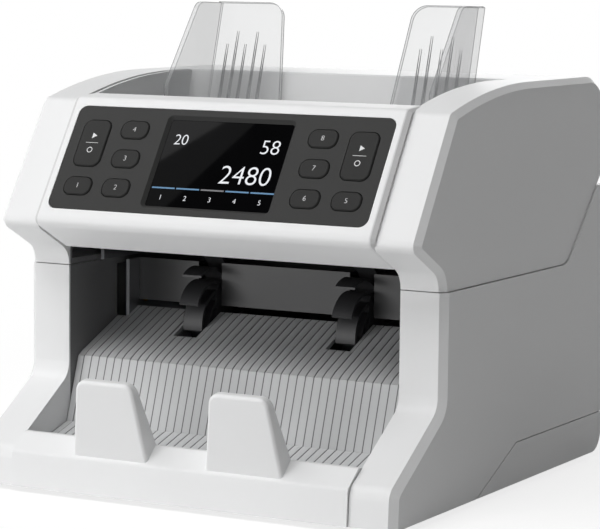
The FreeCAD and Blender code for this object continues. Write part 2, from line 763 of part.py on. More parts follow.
def make_pocket_plate():
    """Plate that the counted notes stand on: a shallow floor, a steep step and a ramp up to the wheels."""
    body = new_body("pocket_plate")
    front = S.crest_depth + S.wall
    ramp_end = S.stacker_depth - S.shaft_radius - 4.5
    step_foot, step_top = 52, 63.5
    floor_front, floor_back, step_high, rise = 16.5, 27.3, 62.5, 0.44
    end_high = step_high + 2 + (ramp_end - 68) * rise
    top = [
        (front, floor_front), (step_foot, floor_back), (step_top, step_high), (of(68), step_high + 2.6),
        (ramp_end, end_high),
    ]
    sheet_thick = 2.2
    under = [
        (ramp_end, end_high - sheet_thick), (of(69), step_high + 0.2), (step_top + 2.2, step_high - 1.6),
        (step_foot + 1.8, floor_back - 2.6), (front, floor_front - sheet_thick),
    ]
    wide = INNER - S.fit_gap - 0.2
    side_pad(body, top + under, -wide, wide)
    narrow = LOWER_IN - 0.1
    shoulder = S.stacker_depth - 20
    half_slot = S.stacker_width / 2 + 1.5
    boxes = [(narrow, wide + 1, shoulder, ramp_end + 1), (-wide - 1, -narrow, shoulder, ramp_end + 1)]
    for side in (1, -1):
        middle = side * S.stacker_offset
        near = S.stacker_depth - S.stacker_radius - 4
        boxes.append((middle - half_slot, middle + half_slot, near, ramp_end + 1))
    plan_cut(body, boxes, 0, S.case_height)
    settle(body, "pocket_plate")


# Note path of the lower unit

def make_lower_guide():
    """Level plate of the note path, with a wall down behind the pocket and slots for wheels and rollers."""
    body = new_body("lower_guide")
    front = S.stacker_depth - S.shaft_radius - 3.5
    rear = S.feed_depth - 12.5
    under = PATH_LOW - S.guide_wall
    outline = [
        (front, PATH_LOW), (front, PATH_LOW - 24), (front + S.guide_wall, PATH_LOW - 24),
        (front + S.guide_wall, under),
        (rear, under), (rear, PATH_LOW),
    ]
    wide = LOWER_IN - 0.1
    side_pad(body, outline, -wide, wide)
    boxes = []
    for side in (1, -1):
        middle, half = side * S.stacker_offset, S.stacker_width / 2 + 1.5
        boxes.append((middle - half, middle + half, front - 1, S.stacker_depth + S.stacker_radius - 2))
        for reach in (S.roller_inner, S.roller_outer):
            middle, half = side * reach, S.roller_width / 2 + 1
            boxes.append((middle - half, middle + half, S.transport_depth - 11, S.transport_depth + 11))
    plan_cut(body, boxes, 0, S.case_height)
    settle(body, "lower_guide")


def ring_point(radius, angle):
    """A point about the feed shaft, as depth and height."""
    return (S.feed_depth + radius * cosine(angle), S.feed_height + radius * sine(angle))


def make_rear_guide():
    """Curved guide that turns the note forward round the feed rollers."""
    body = new_body("rear_guide")
    inner = S.feed_radius + S.wrap_gap
    outer = inner + S.guide_wall
    low, high = -70, 5
    places = ((inner, low), (outer, low), (outer, high), (inner, high))
    points = [ring_point(radius, angle) for radius, angle in places]
    wide = LOWER_IN - 0.1
    side_pad(body, points, -wide, wide, {1: outer, 3: -inner})
    settle(body, "rear_guide")


def make_image_sensor():
    """Contact image sensor bar, its window level with the note path."""
    wide = LOWER_IN - 0.1
    front, rear = S.feed_depth - 12, S.feed_depth + 7
    bar = block("sensor_bar", (-wide, wide), (front, rear), (PATH_LOW - 16, PATH_LOW))
    low, high = PATH_LOW - 0.4, PATH_LOW + 1
    groove = block("sensor_groove", (-wide - 1, wide + 1), (front + 7, rear - 9), (low, high))
    keep("image_sensor", less("image_sensor", bar, groove))


def draw_frame_holes(sketch, holes):
    for depth, height, radius in holes:
        draw_circle(sketch, depth, height, radius)


def make_lower_frames():
    """Steel side plates of the lower unit, with the hinge ears at the rear."""
    bush = S.shaft_radius + S.bush_wall
    rest = S.feed_radius + S.wrap_gap - 0.2
    front = S.stacker_depth - 18
    low = ring_point(rest, -85)
    high = ring_point(rest, 5)
    ear = S.ear_radius
    outline = [
        (front, S.wall), (S.feed_depth + 40, S.wall), (HINGE_DEPTH + ear, S.hinge_height - 30),
        (HINGE_DEPTH + ear, S.hinge_height), (HINGE_DEPTH, S.hinge_height + ear),
        high, low, (low[0], PATH_LOW - 0.4), (front, PATH_LOW - 0.4),
    ]
    body = new_body("lower_frame_right")
    sketch = new_sketch(body, "YZ_Plane", LOWER_IN)
    draw(sketch, outline, {3: ear, 5: -rest})
    draw_frame_holes(sketch, [
        (S.stacker_depth, S.stacker_height, bush), (S.transport_depth, TRANSPORT_HEIGHT, bush),
        (S.motor_depth, S.motor_height, S.motor_shaft_radius * 2.4),
        (HINGE_DEPTH, S.hinge_height, S.hinge_radius),
    ])
    pad(body, sketch, S.plate)
    settle(body, "lower_frame_right")
    keep("lower_frame_left", mirrored(body, "lower_frame_left"))


# Turning pieces of the lower unit

def make_stacker():
    depth, height = S.stacker_depth, S.stacker_height
    shaft = rod("stacker_shaft", -LOWER_OUT - 3, PULLEY_OUT + 2, S.shaft_radius, depth, height)
    keep("stacker_shaft", shaft)
    made = pulley("stacker_pulley", S.stacker_pulley_radius, S.shaft_radius, 1, depth, height)
    keep("stacker_pulley", made)
    wheel = new_body("stacker_wheel")
    low = S.stacker_offset - S.stacker_width / 2
    hub = new_sketch(wheel, "YZ_Plane", low)
    draw_circle(hub, 0, 0, S.hub_radius)
    draw_circle(hub, 0, 0, S.shaft_radius)
    pad(wheel, hub, S.stacker_width)
    # One vane sweeps back from the hub, thinner towards its tip
    vane = new_sketch(wheel, "YZ_Plane", low)
    inner = S.hub_radius - 0.8
    tip = S.stacker_radius
    sweep, lag = 62, 4
    points = [
        (inner, 0), (tip * cosine(sweep), tip * sine(sweep)),
        ((tip - 0.4) * cosine(sweep + lag / 2), (tip - 0.4) * sine(sweep + lag / 2)),
        (inner * cosine(S.vane * 7), inner * sine(S.vane * 7)),
    ]
    bow = S.stacker_radius * 0.62
    draw(vane, points, {0: bow, 2: -(bow - 0.6)})
    blade = pad(wheel, vane, S.stacker_width)
    pattern = wheel.newObject("PartDesign::PolarPattern", "vane_pattern")
    pattern.Originals = [blade]
    pattern.Axis = (vane, ["N_Axis"])
    pattern.Angle = 360
    bind(pattern, "Occurrences", S.vane_count)
    wheel.Tip = pattern
    doc.recompute()
    place(wheel, 0, depth, height)
    grouped("stacker_wheels", [wheel, mirrored(wheel, "stacker_wheel_left")])


def pulley(name, radius, bore, side, depth, height):
    """Flanged belt pulley in the right (side 1) or left (side -1) cheek."""
    lip, rim = 1, 2
    a, b, c, d = PULLEY_IN, PULLEY_IN + lip, PULLEY_OUT - lip, PULLEY_OUT
    points = [
        (a, bore), (d, bore), (d, radius + rim), (c, radius + rim), (c, radius), (b, radius),
        (b, radius + rim),
        (a, radius + rim),
    ]
    return turned(name, [(side * of(x), r) for x, r in points], depth, height)


def roller_set(label, radius, bore, reaches, wide, depth, height):
    members = []
    for number, reach in enumerate(reaches):
        low, high = reach - wide / 2, reach + wide / 2
        right = ring("%s_%d" % (label, number), low, high, bore, radius, depth, height)
        members += [right, mirrored(right, "%s_%d_left" % (label, number))]
    return grouped(label, members)


def make_transport():
    depth, height = S.transport_depth, TRANSPORT_HEIGHT
    shaft = rod("transport_shaft", -LOWER_OUT - 3, PULLEY_OUT + 2, S.shaft_radius, depth, height)
    keep("transport_shaft", shaft)
    made = pulley("transport_pulley", S.transport_pulley_radius, S.shaft_radius, 1, depth, height)
    keep("transport_pulley", made)
    reaches = (S.roller_inner, S.roller_outer)
    wide = S.roller_width
    roller_set("transport_rollers", S.transport_radius, S.shaft_radius, reaches, wide, depth, height)


def motor(label, radius, side, face, depth, height):
    """Motor can on a frame plate's inner face, with its pilot in the plate and a bore for the rotor."""
    bore = S.motor_shaft_radius + S.run_gap
    pilot = S.motor_shaft_radius * 2.4
    tail = face - S.motor_length
    points = [
        (tail, 0), (face - 12, 0), (face - 12, bore), (face + S.plate, bore), (face + S.plate, pilot),
        (face, pilot),
        (face, radius), (tail + 3, radius), (tail + 3, radius - 4), (tail, radius - 4),
    ]
    keep(label, turned(label, [(side * of(x), r) for x, r in points], depth, height))


def rotor(label, side, face, depth, height):
    """Motor shaft with its pulley."""
    lip, rim = 1, 2
    a, b, c, d = PULLEY_IN, PULLEY_IN + lip, PULLEY_OUT - lip, PULLEY_OUT
    radius, shaft = S.motor_pulley_radius, S.motor_shaft_radius
    points = [
        (face - 11, 0), (d, 0), (d, radius + rim), (c, radius + rim), (c, radius), (b, radius),
        (b, radius + rim),
        (a, radius + rim), (a, shaft), (face - 11, shaft),
    ]
    keep(label, turned(label, [(side * of(x), r) for x, r in points], depth, height))


def make_bushes(label, places, inner_face, flange_out):
    """Flanged bushes pressed into both frame plates."""
    members = []
    bore = S.shaft_radius + S.run_gap
    sleeve = S.shaft_radius + S.bush_wall
    for number, (depth, height) in enumerate(places):
        a, b, c = inner_face, inner_face + S.plate, inner_face + S.plate + flange_out
        points = [(a, bore), (c, bore), (c, sleeve + 2), (b, sleeve + 2), (b, sleeve), (a, sleeve)]
        right = turned("%s_%d" % (label, number), points, depth, height)
        members += [right, mirrored(right, "%s_%d_left" % (label, number))]
    grouped(label, members)


def belt_shape(wheels, low, high):
    """A flat belt round three pulleys, given as depth, height and radius, anticlockwise seen from +X."""
    faces = []
    for extra in (S.belt_gap.value, S.belt_gap.value + S.belt.value):
        circles = [(Vector(0, of(y).value, of(z).value), of(r).value + extra) for y, z, r in wheels]
        count = len(circles)
        contacts = []
        for index in range(count):
            (here, r), (there, q) = circles[index], circles[(index + 1) % count]
            run = there - here
            heading = math.atan2(run.z, run.y)
            normal = heading - math.acos((r - q) / run.Length)
            out = Vector(0, math.cos(normal), math.sin(normal))
            contacts.append((here + out * r, there + out * q))
        edges = []
        for index in range(count):
            leave, meet = contacts[index]
            edges.append(Part.LineSegment(leave, meet).toShape())
            centre, radius = circles[(index + 1) % count]
            onward = contacts[(index + 1) % count][0]
            middle = ((meet - centre) + (onward - centre)).normalize() * radius + centre
            edges.append(Part.Arc(meet, middle, onward).toShape())
        faces.append(Part.Face(Part.Wire(edges)))
    band = faces[1].cut(faces[0])
    band.translate(Vector(of(low).value, 0, 0))
    return band.extrude(Vector(of(high).value - of(low).value, 0, 0))


def make_belt(label, wheels, side):
    low, high = PULLEY_IN + 1.3, PULLEY_OUT - 1.3
    limits = (low, high) if side > 0 else (-high, -low)
    belt = doc.addObject("Part::Feature", label)
    belt.Shape = belt_shape(wheels, *limits).Solids[0]
    place(belt)
    keep(label, belt)


def make_lower_drive():
    motor("transport_motor", S.motor_radius, 1, LOWER_IN, S.motor_depth, S.motor_height)
    rotor("transport_motor_pulley", 1, LOWER_IN, S.motor_depth, S.motor_height)
    places = [(S.stacker_depth, S.stacker_height), (S.transport_depth, TRANSPORT_HEIGHT)]
    make_bushes("lower_bearings", places, LOWER_IN, 1)
    make_belt("transport_belt", [
        (S.motor_depth, S.motor_height, S.motor_pulley_radius),
        (S.transport_depth, TRANSPORT_HEIGHT, S.transport_pulley_radius),
        (S.stacker_depth, S.stacker_height, S.stacker_pulley_radius),
    ], 1)
    pin = rod("hinge_pin", LOWER_IN - 1, UPPER_OUT + 1.5, S.hinge_radius, HINGE_DEPTH, S.hinge_height)
    grouped("hinge_pins", [pin, mirrored(pin, "hinge_pin_left")])


# Electrics of the lower unit

def make_main_board():
    """Control board on the rear wall's bosses, its sockets reaching through the wall."""
    face = S.depth - S.wall - BOARD["gap"]
    back = face - BOARD["thick"]
    members = [block("board", (BOARD["left"], BOARD["right"]), (back, face), (BOARD["low"], BOARD["high"]))]
    for number, (x, height, wide, tall) in enumerate(SOCKETS):
        low, high = height - tall / 2, height + tall / 2
        shell = block("socket_%d" % number, (x - wide / 2, x + wide / 2), (face - 0.2, S.depth), (low, high))
        mouth = block(
            "socket_mouth_%d" % number, (x - wide / 2 + 1, x + wide / 2 - 1), (S.depth - 9, S.depth + 1),
            (low + 1, high - 1),
        )
        members.append(less("open_socket_%d" % number, shell, mouth))
    members.append(block("processor", (40, 64), (back - 3, back + 0.1), (66, 90)))
    keep("main_board", joined("main_board", members))


def make_power_supply():
    """Open supply board on posts of its own, with transformer, capacitor and heat sink."""
    left, right, front, rear = -84, 0, 150, 222
    deck = S.wall + 6
    members = [block("supply_board", (left, right), (front, rear), (deck, deck + 1.6))]
    for x in (left + 5, right - 5):
        for y in (front + 5, rear - 5):
            members.append(upright("supply_post", 3, x, y, S.wall, deck + 0.2))
    top = deck + 1.5
    members.append(block("transformer", (left + 24, left + 56), (front + 20, front + 52), (top, top + 27)))
    members.append(upright("capacitor", 9, right - 16, rear - 20, top, top + 30))
    members.append(block("heat_sink", (left + 6, left + 10), (front + 10, rear - 10), (top, top + 30)))
    keep("power_supply", joined("power_supply", members))


ROCKER = {"wide": 20, "room": 10.8, "rise": 13, "pin": 1.4, "bore": 1.8}


def make_power_inlet():
    """Panel-mounted mains inlet with three pins, and the housing of the rocker above it."""
    x, z = INLET_X, S.inlet_height
    half, tall = S.inlet_width / 2, S.inlet_tall / 2
    gap = 0.2
    back, face, front = S.depth - 30, S.depth, S.depth + S.proud
    low, high = z - tall, z + tall
    can = block("inlet_can", (x - half + gap, x + half - gap), (back, face), (low + gap, high - gap))
    rim = block("inlet_rim", (x - half - 2, x + half + 2), (face, front), (low - 2, high + 2))
    shell = joined("inlet_shell", [can, rim])
    socket = block("inlet_socket", (x - 12, x + 12), (S.depth - 18, S.depth + 2), (z - 20, z - 4))
    wide, middle = ROCKER["wide"] / 2 + gap, z + ROCKER["rise"]
    room = (middle - ROCKER["room"], middle + ROCKER["room"])
    rocker_room = block("rocker_room", (x - wide, x + wide), (face - 16, face + 2), room)
    pivot = (S.depth - 6, z + ROCKER["rise"])
    reach = wide + ROCKER["pin"] + gap
    bore = rod("rocker_bore", x - reach, x + reach, ROCKER["bore"], *pivot)
    hollow = less("inlet_hollow", shell, joined("inlet_rooms", [socket, rocker_room, bore]))
    members = [hollow]
    for number, (offset, height) in enumerate(((-7, -14), (7, -14), (0, -9))):
        across, tall = (x + offset - 1, x + offset + 1), (z + height - 2, z + height + 2)
        members.append(block("inlet_pin_%d" % number, across, (face - 19, face - 3), tall))
    keep("power_inlet", joined("power_inlet", members))
    rocker = new_body("power_rocker")
    half = of(ROCKER["wide"] / 2)
    outline = [(-5, -7), (4.4, -8.6), (3.2, 0), (5.6, 8.2), (-5, 7)]
    side_pad(rocker, outline, x - half, x + half)
    pins = new_sketch(rocker, "YZ_Plane", x - half - ROCKER["pin"])
    draw_circle(pins, 0, 0, ROCKER["bore"] - 0.2)
    pad(rocker, pins, 2 * (half + ROCKER["pin"]))
    place(rocker, 0, *pivot)
    keep("power_rocker", rocker)


# Upper casing

def make_upper_housing():
    body = new_body("upper_housing")
    hinge_foot = S.hinge_height + S.seam_gap / 2
    outline = [
        (S.pillar_depth, UPPER_FOOT), (SEAM_BEND, UPPER_FOOT), (HINGE_DEPTH, hinge_foot),
        (S.depth, hinge_foot + S.hinge_inset), (S.depth, S.case_height), (S.crown_depth, S.case_height),
        (S.panel_top_depth, S.panel_top_height), (CHIN_DEPTH, CHIN_HEIGHT), (S.brow_depth, S.brow_height),
    ]
    side_pad(body, outline, -UPPER_HALF, UPPER_HALF, {5: S.crown_radius, 8: -S.brow_round})
    round_across(body, SEAM_BEND, UPPER_FOOT, S.seam_round)
    round_across(body, CHIN_DEPTH, CHIN_HEIGHT, S.chin_round)
    round_across(body, S.panel_top_depth, S.panel_top_height, S.top_round)
    round_across(body, S.depth, S.case_height, S.rear_round)
    edges = []
    for name in edge_names(body.Shape, outer_edges(UPPER_HALF, S.seam_height.value)):
        edge = body.Shape.Edges[int(name[4:]) - 1]
        middle = edge.valueAt((edge.FirstParameter + edge.LastParameter) / 2)
        above_seam = middle.z - S.seam_height.value > max(0, middle.y - SEAM_BEND.value) + 3
        if above_seam:
            edges.append(name)
    dress(body, "Chamfer", edges, S.bevel)
    # Hollow cheeks, open towards the works
    inset = S.wall + 1
    foot = UPPER_FOOT + S.wall
    roof = S.case_height - S.wall
    top = (S.panel_top_depth + S.wall * 1.4, S.panel_top_height - S.wall)
    nose = (CHIN_DEPTH + 13, CHIN_HEIGHT + 4)
    rear = S.depth - S.wall
    hollow = [
        (S.pillar_depth + S.wall, foot), (SEAM_BEND - S.wall * 0.4, foot),
        (HINGE_DEPTH - 4, S.hinge_height + S.wall * 1.5 - 4),
        (HINGE_DEPTH - 4, S.hinge_height + 14), (rear, S.hinge_height + 20),
        (rear, S.case_height - S.rear_round),
        (S.depth - S.rear_round, roof),
        (S.crown_depth, roof), top, nose, (S.pillar_depth + S.wall, S.brow_height + 5),
    ]
    for side in (1, -1):
        limits = sorted((side * (INNER - 1), side * (UPPER_HALF - inset)), key=lambda s: s.value)
        side_cut(body, hollow, *limits, {7: S.crown_radius - S.wall})
    # Space between the cheeks, with the top deck and rear wall left standing
    lean = tangent(S.guide_lean)
    deck = deck_front(S.case_height)
    middle = [
        (0, S.seam_height - 10), (rear, S.seam_height - 10), (rear, S.case_height - S.rear_round),
        (S.depth - S.rear_round, roof), (deck - S.wall * lean, roof), (deck + 5 * lean, S.case_height + 5),
        (0, S.case_height + 5),
    ]
    side_cut(body, middle, -INNER, INNER)
    settle(body, "upper_housing")


def wing_rear(height):
    """Depth of the leaning rear face of the note guides at a height."""
    return 190 - (S.guide_top - height) * tangent(S.guide_lean)


def deck_front(height):
    """Depth of the top deck's front edge, behind the hopper's rear wall."""
    return wing_rear(height) + 2 + S.hopper_wall * 1.04 + S.fit_gap


# Front panel

def panel_sketch(body, level):
    """A sketch in the plane of the front panel: x across, y up the slope from the panel's upper edge."""
    return new_sketch(body, "XY_Plane", level, (FACE_DEPTH, FACE_HEIGHT, S.panel_angle))


def key_table():
    """Each key's name, place across and down the slope, and height."""
    rows = [S.first_row + S.row_pitch * number for number in range(3)]
    table = []
    for word, side in (("left", -1), ("right", 1)):
        for name, down in zip(("upper", "middle", "lower"), rows):
            table.append(("%s_%s_key" % (word, name), side * S.inner_column, down, S.key_height))
        table.append(("%s_corner_key" % word, side * S.outer_column, rows[2], S.key_height))
        table.append(("%s_tall_key" % word, side * S.outer_column, S.tall_row, S.tall_key_height))
    return table


WALL_BEHIND = 2.5


def make_display_housing():
    body = new_body("display_housing")
    chin = (CHIN_DEPTH - S.panel_proud * PANEL_SIN, CHIN_HEIGHT + S.panel_proud * PANEL_COS)
    rear = S.hopper_depth - 0.4
    rear_top = S.panel_top_height + 2.9
    outline = [
        (S.brow_depth + 1, S.brow_height), chin, (FACE_DEPTH, FACE_HEIGHT), (rear, rear_top),
        (rear, rear_top - 12),
        (S.pillar_depth + 4, S.brow_height),
    ]
    wide = INNER - S.fit_gap
    side_pad(body, outline, -wide, wide)
    round_across(body, *chin, S.chin_round)
    round_across(body, FACE_DEPTH, FACE_HEIGHT, 4)
    out = Vector(0, -PANEL_SIN.value, PANEL_COS.value)
    face = max(vertex.Point.dot(out) for vertex in body.Shape.Vertexes)
    sides = edge_names(body.Shape, lambda edge: all(
        abs(v.Point.x) > wide.value - 0.01 and face - v.Point.dot(out) < 0.01 for v in edge.Vertexes))
    edges = body.Shape.Edges
    long_sides = [name for name in sides if edges[int(name[4:]) - 1].Length < S.panel_length.value]
    dress(body, "Fillet", long_sides, S.panel_round)
    depth_behind = S.plate_panel + WALL_BEHIND
    back, sink = depth_behind * PANEL_SIN, depth_behind * PANEL_COS
    inner_top = (FACE_DEPTH + back - 5 * PANEL_COS, FACE_HEIGHT - sink - 5 * PANEL_SIN)
    inner_chin = (chin[0] + back + 8 * PANEL_COS, chin[1] - sink + 8 * PANEL_SIN)
    brow = S.brow_depth + 5
    hollow = [
        (brow, S.brow_height - 2),
        (brow, S.brow_height + 4), inner_chin, inner_top, (rear - 4, rear_top - 4),
        (rear - 4, rear_top - 14), (rear + 9, rear_top - 14), (rear + 9, S.brow_height - 2),
    ]
    side_cut(body, hollow, -wide + S.wall, wide - S.wall)
    recess = panel_sketch(body, 0)
    middle = -S.keypad_top - S.keypad_height / 2
    gap = S.fit_gap * 2
    draw_box(recess, 0, middle, S.keypad_width + gap, S.keypad_height + gap, S.keypad_round + S.fit_gap)
    pocket(body, recess, S.plate_panel)
    behind = panel_sketch(body, -S.plate_panel)
    room = 2 * (S.flange + S.key_gap)
    for name, x, down, tall in key_table():
        draw_box(behind, x, -down, S.key_width + room, tall + room)
    screen = -S.screen_top - S.screen_height / 2
    draw_box(behind, 0, screen, S.screen_width + 6, S.screen_height + 4)
    pocket(body, behind, WALL_BEHIND + 4)
    settle(body, "display_housing")


def make_keypad_panel():
    body = new_body("keypad_panel")
    sketch = panel_sketch(body, -S.plate_panel)
    draw_box(sketch, 0, -S.keypad_top - S.keypad_height / 2, S.keypad_width, S.keypad_height, S.keypad_round)
    draw_box(sketch, 0, -S.screen_top - S.screen_height / 2, S.screen_width, S.screen_height, 1.5)
    pad(body, sketch, S.plate_panel)
    out = Vector(0, -PANEL_SIN.value, PANEL_COS.value)
    face = max(vertex.Point.dot(out) for vertex in body.Shape.Vertexes)
    reach = S.screen_width.value / 2 + 0.1
    rim = edge_names(body.Shape, lambda edge: all(
        abs(v.Point.x) < reach and abs(v.Point.dot(out) - face) < 0.01 for v in edge.Vertexes))
    dress(body, "Chamfer", rim, S.screen_bevel)
    gap = 2 * S.key_gap
    for name, x, down, tall in key_table():
        hole = panel_sketch(body, 0)
        draw_box(hole, x, -down, S.key_width + gap, tall + gap, S.key_round + S.key_gap)
        pocket(body, hole, S.plate_panel)
    settle(body, "keypad_panel")


def make_keys():
    for name, x, down, tall in key_table():
        body = new_body(name)
        foot = -S.plate_panel - 0.1
        cap = panel_sketch(body, foot - 0.1)
        draw_box(cap, x, -down, S.key_width, tall, S.key_round)
        pad(body, cap, S.key_rise + 0.1 - foot)
        top = body.Shape.Faces
        up = Vector(0, -PANEL_SIN.value, PANEL_COS.value)
        face = max(top, key=lambda f: f.CenterOfMass.dot(up))
        number = [n for n, f in enumerate(body.Shape.Faces) if f.isSame(face)][0] + 1
        dress(body, "Chamfer", ["Face%d" % number], S.key_rise * 0.8)
        flange = panel_sketch(body, foot - 1.2)
        draw_box(flange, x, -down, S.key_width + 2 * S.flange, tall + 2 * S.flange)
        pad(body, flange, 1.2)
        stem = panel_sketch(body, foot - 2)
        draw_box(stem, x, -down, 4, 4)
        pad(body, stem, 1)
        settle(body, name)


def make_display():
    middle = -S.screen_top - S.screen_height / 2
    glass = new_body("screen_glass")
    sketch = panel_sketch(glass, -S.plate_panel - WALL_BEHIND)
    draw_box(sketch, 0, middle, S.screen_width + 5.4, S.screen_height + 3.4)
    pad(glass, sketch, WALL_BEHIND)
    settle(glass, "screen_glass")
    display = new_body("display_module")
    sketch = panel_sketch(display, -S.plate_panel - WALL_BEHIND - 6.5)
    draw_box(sketch, 0, middle, S.screen_width + 8, S.screen_height + 3)
    pad(display, sketch, 6.5)
    settle(display, "display_module")


def make_key_boards():
    """Two key boards, each on four posts behind the panel wall, with a switch under each key."""
    members = []
    top = -S.plate_panel - WALL_BEHIND - 3.6
    reach = (S.inner_column + S.outer_column) / 2
    centre = -S.keypad_top - S.keypad_height / 2
    for word, side in (("left", -1), ("right", 1)):
        body = new_body("%s_key_board" % word)
        sketch = panel_sketch(body, top - 1.6)
        wide = S.outer_column - S.inner_column + S.key_width + 6
        draw_box(sketch, side * reach, centre, wide, S.keypad_height - 8)
        pad(body, sketch, 1.6)
        switches = panel_sketch(body, top)
        for name, x, down, tall in key_table():
            if name.startswith(word):
                draw_box(switches, x, -down, 5, 5)
        pad(body, switches, 2.4)
        posts = panel_sketch(body, top)
        for u in (-1, 1):
            for v in (-1, 1):
                post = (side * reach + u * (wide / 2 - 1.6), centre + v * (S.keypad_height / 2 - 6))
                draw_box(posts, *post, 2.6, 2.6)
        pad(body, posts, 3.6)
        place(body)
        members.append(body)
    grouped("key_boards", members)


# Hopper

def hopper_sketch(body, level):
    """A sketch in the plane of the hopper floor: x across, y along the floor to the rear."""
    return new_sketch(body, "XY_Plane", level, (S.hopper_depth, S.hopper_height, -S.hopper_slope))


FLOOR_UNDER = -(S.floor * cosine(S.hopper_slope))


def make_hopper_tray():
    body = new_body("hopper_tray")
    wide = INNER - S.seam_gap
    inside = wide - S.hopper_wall
    front, rear = S.hopper_depth, S.throat_depth
    side_top = S.panel_top_height + 2.4
    top = S.case_height - 0.6
    back_low = S.hopper_height - 13
    wall_front = wing_rear(back_low) + 2
    wall_top = wing_rear(S.case_height) + 2
    thick = S.hopper_wall * 1.04
    high, low = floor_at(front), floor_at(rear)
    floor_outline = [(front, high), (front, high - S.floor), (rear, low - S.floor), (rear, low)]
    side_pad(body, floor_outline, -wide, wide)
    side_outline = [
        (front, side_top), (front, high - S.floor), (rear, low - S.floor),
        (wall_front + thick, back_low), (wall_top + thick, top), (S.crown_depth, top),
    ]
    for side in (1, -1):
        limits = sorted((side * inside, side * wide), key=lambda s: s.value)
        side_pad(body, side_outline, *limits, {5: S.crown_radius})
    back = [(wall_front, back_low), (wall_front + thick, back_low), (wall_top + thick, top), (wall_top, top)]
    side_pad(body, back, -wide, wide)
    inner = front + S.hopper_wall
    foot, rim = high - S.floor, side_top - 1
    front_wall = [(front, rim), (front, foot), (inner, foot), (inner, rim)]
    side_pad(body, front_wall, -wide, wide)
    sketch = new_sketch(body, "XY_Plane", S.case_height)
    for side in (1, -1):
        draw_box(sketch, side * S.feed_offset, S.pickup_depth, S.feed_width + 3, 2 * S.pickup_radius)
    pocket(body, sketch, S.case_height - S.feed_height)
    slots = hopper_sketch(body, 5)
    for side in (1, -1):
        low = S.guide_reach - S.guide_in - 3
        high = S.guide_reach + S.guide_out + 4
        draw_box(slots, side * (low + high) / 2, S.neck_run, high - low, 8, 2)
    pocket(body, slots, 10)
    spindle = hopper_sketch(body, FLOOR_UNDER - S.rack_thick - 0.8)
    draw_circle(spindle, 0, S.pinion_run, 2.5)
    pad(body, spindle, S.rack_thick + 1.8)
    settle(body, "hopper_tray")


def rack_outline(side, pitch_line, body_edge, inner_end, outer_end, toothed_to):
    """Rack outline with straight-sided teeth facing the pinion; side is +1 for a rack behind the pinion."""
    m = S.module.value
    pitch = math.pi * m
    half = pitch / 4 - S.tooth_play.value / 2
    slant = math.tan(math.radians(20))
    root = pitch_line + side * 1.25 * m
    tip = pitch_line - side * m
    points = [(inner_end, body_edge), (inner_end, root)]
    number = math.ceil((inner_end + 1.5) / pitch - 0.5)
    while (number + 0.5) * pitch < toothed_to:
        middle = (number + 0.5) * pitch
        foot, crown = half + 1.25 * m * slant, half - m * slant
        points += [(middle - foot, root), (middle - crown, tip)]
        points += [(middle + crown, tip), (middle + foot, root)]
        number += 1
    points += [(outer_end, root), (outer_end, body_edge)]
    return points


# Ribs of a guide's rear wing: inset from the guide's middle, height of the tip
GUIDE_RIBS = ((9, 239), (15, 247), (21, 239), (28, 247), (34, 239))


def make_guides():
    """Clear note guides, each with a neck through the hopper floor and a rack under it."""
    for word, side in (("right", 1), ("left", -1)):
        body = new_body(word + "_guide")
        inner = side * (S.guide_reach - S.guide_thick / 2)
        outer = side * (S.guide_reach + S.guide_thick / 2)
        low, high = sorted((inner, outer), key=lambda s: s.value)
        front = 126
        lift = 1.4
        corner = S.throat_depth - 9
        wing = [
            (front, floor_at(of(front)) + lift), (wing_rear(floor_at(corner)), floor_at(corner) + lift),
            (wing_rear(S.guide_top), S.guide_top), (wing_rear(S.guide_top) - 29, S.guide_top + 1),
            (front, S.guide_top - 46),
        ]
        side_pad(body, wing, low, high)
        round_across(body, *wing[3], S.guide_round)
        # Rear wing, leaning back, tapering towards its foot
        foot_height = floor_at(corner) + 4
        back = new_sketch(body, "XY_Plane", 0, (wing_rear(foot_height), foot_height, 90 - S.guide_lean))
        length = (S.guide_top - foot_height) / cosine(S.guide_lean)
        free_low, free_high = S.guide_reach - 51, S.guide_reach - 41.5
        r = S.guide_round
        points = [
            (side * free_low, 0), (outer, 0), (outer, length), (side * (free_high + r), length),
            (side * (free_high - 0.8), length - r),
        ]
        draw(back, points, {3: side * (r + 0.6)})
        pad(body, back, S.guide_thick)
        # Thin ribs that keep notes from clinging to the rear wing
        face = S.guide_thick / cosine(S.guide_lean) - 0.3
        for inset, height in GUIDE_RIBS:
            near = side * (S.guide_reach - inset)
            root = floor_at(corner) + 12
            back_edge = wing_rear(root) - face
            rib = [(back_edge, root), (back_edge - 3, root), (wing_rear(height) - face, height)]
            left, right = sorted((near, near + side * 1.2), key=lambda size: size.value)
            side_pad(body, rib, left, right)
        # Neck and rack
        neck = hopper_sketch(body, FLOOR_UNDER - S.rack_thick - 0.3)
        draw_box(neck, side * S.guide_reach, S.neck_run, S.guide_thick, 6)
        pad(body, neck, S.rack_thick + 6)
        make_rack(body, side)
        settle(body, word + "_guide")
        check_single(body)


def make_rack(body, side):
    """Rack towards the pinion, and the arm that joins it to the neck."""
    level = FLOOR_UNDER - S.rack_thick - 0.3
    line = S.pinion_run.value + side * PITCH_RADIUS.value
    edge = line + side * 6
    reach = S.guide_reach.value + 2.5
    points = rack_outline(side, line, edge, -20, reach, S.guide_in.value + 12)
    rack = hopper_sketch(body, level)
    draw(rack, [(side * x, y) for x, y in points])
    pad(body, rack, S.rack_thick)
    arm = hopper_sketch(body, level)
    near, far = min(edge, line + side * 2), S.neck_run.value + 3
    draw_box(arm, side * (reach - 4), (near + far) / 2, 8, far - near)
    pad(body, arm, S.rack_thick)


def check_single(body):
    if len(body.Shape.Solids) != 1:
        raise RuntimeError("%s is in %d pieces" % (body.Name, len(body.Shape.Solids)))


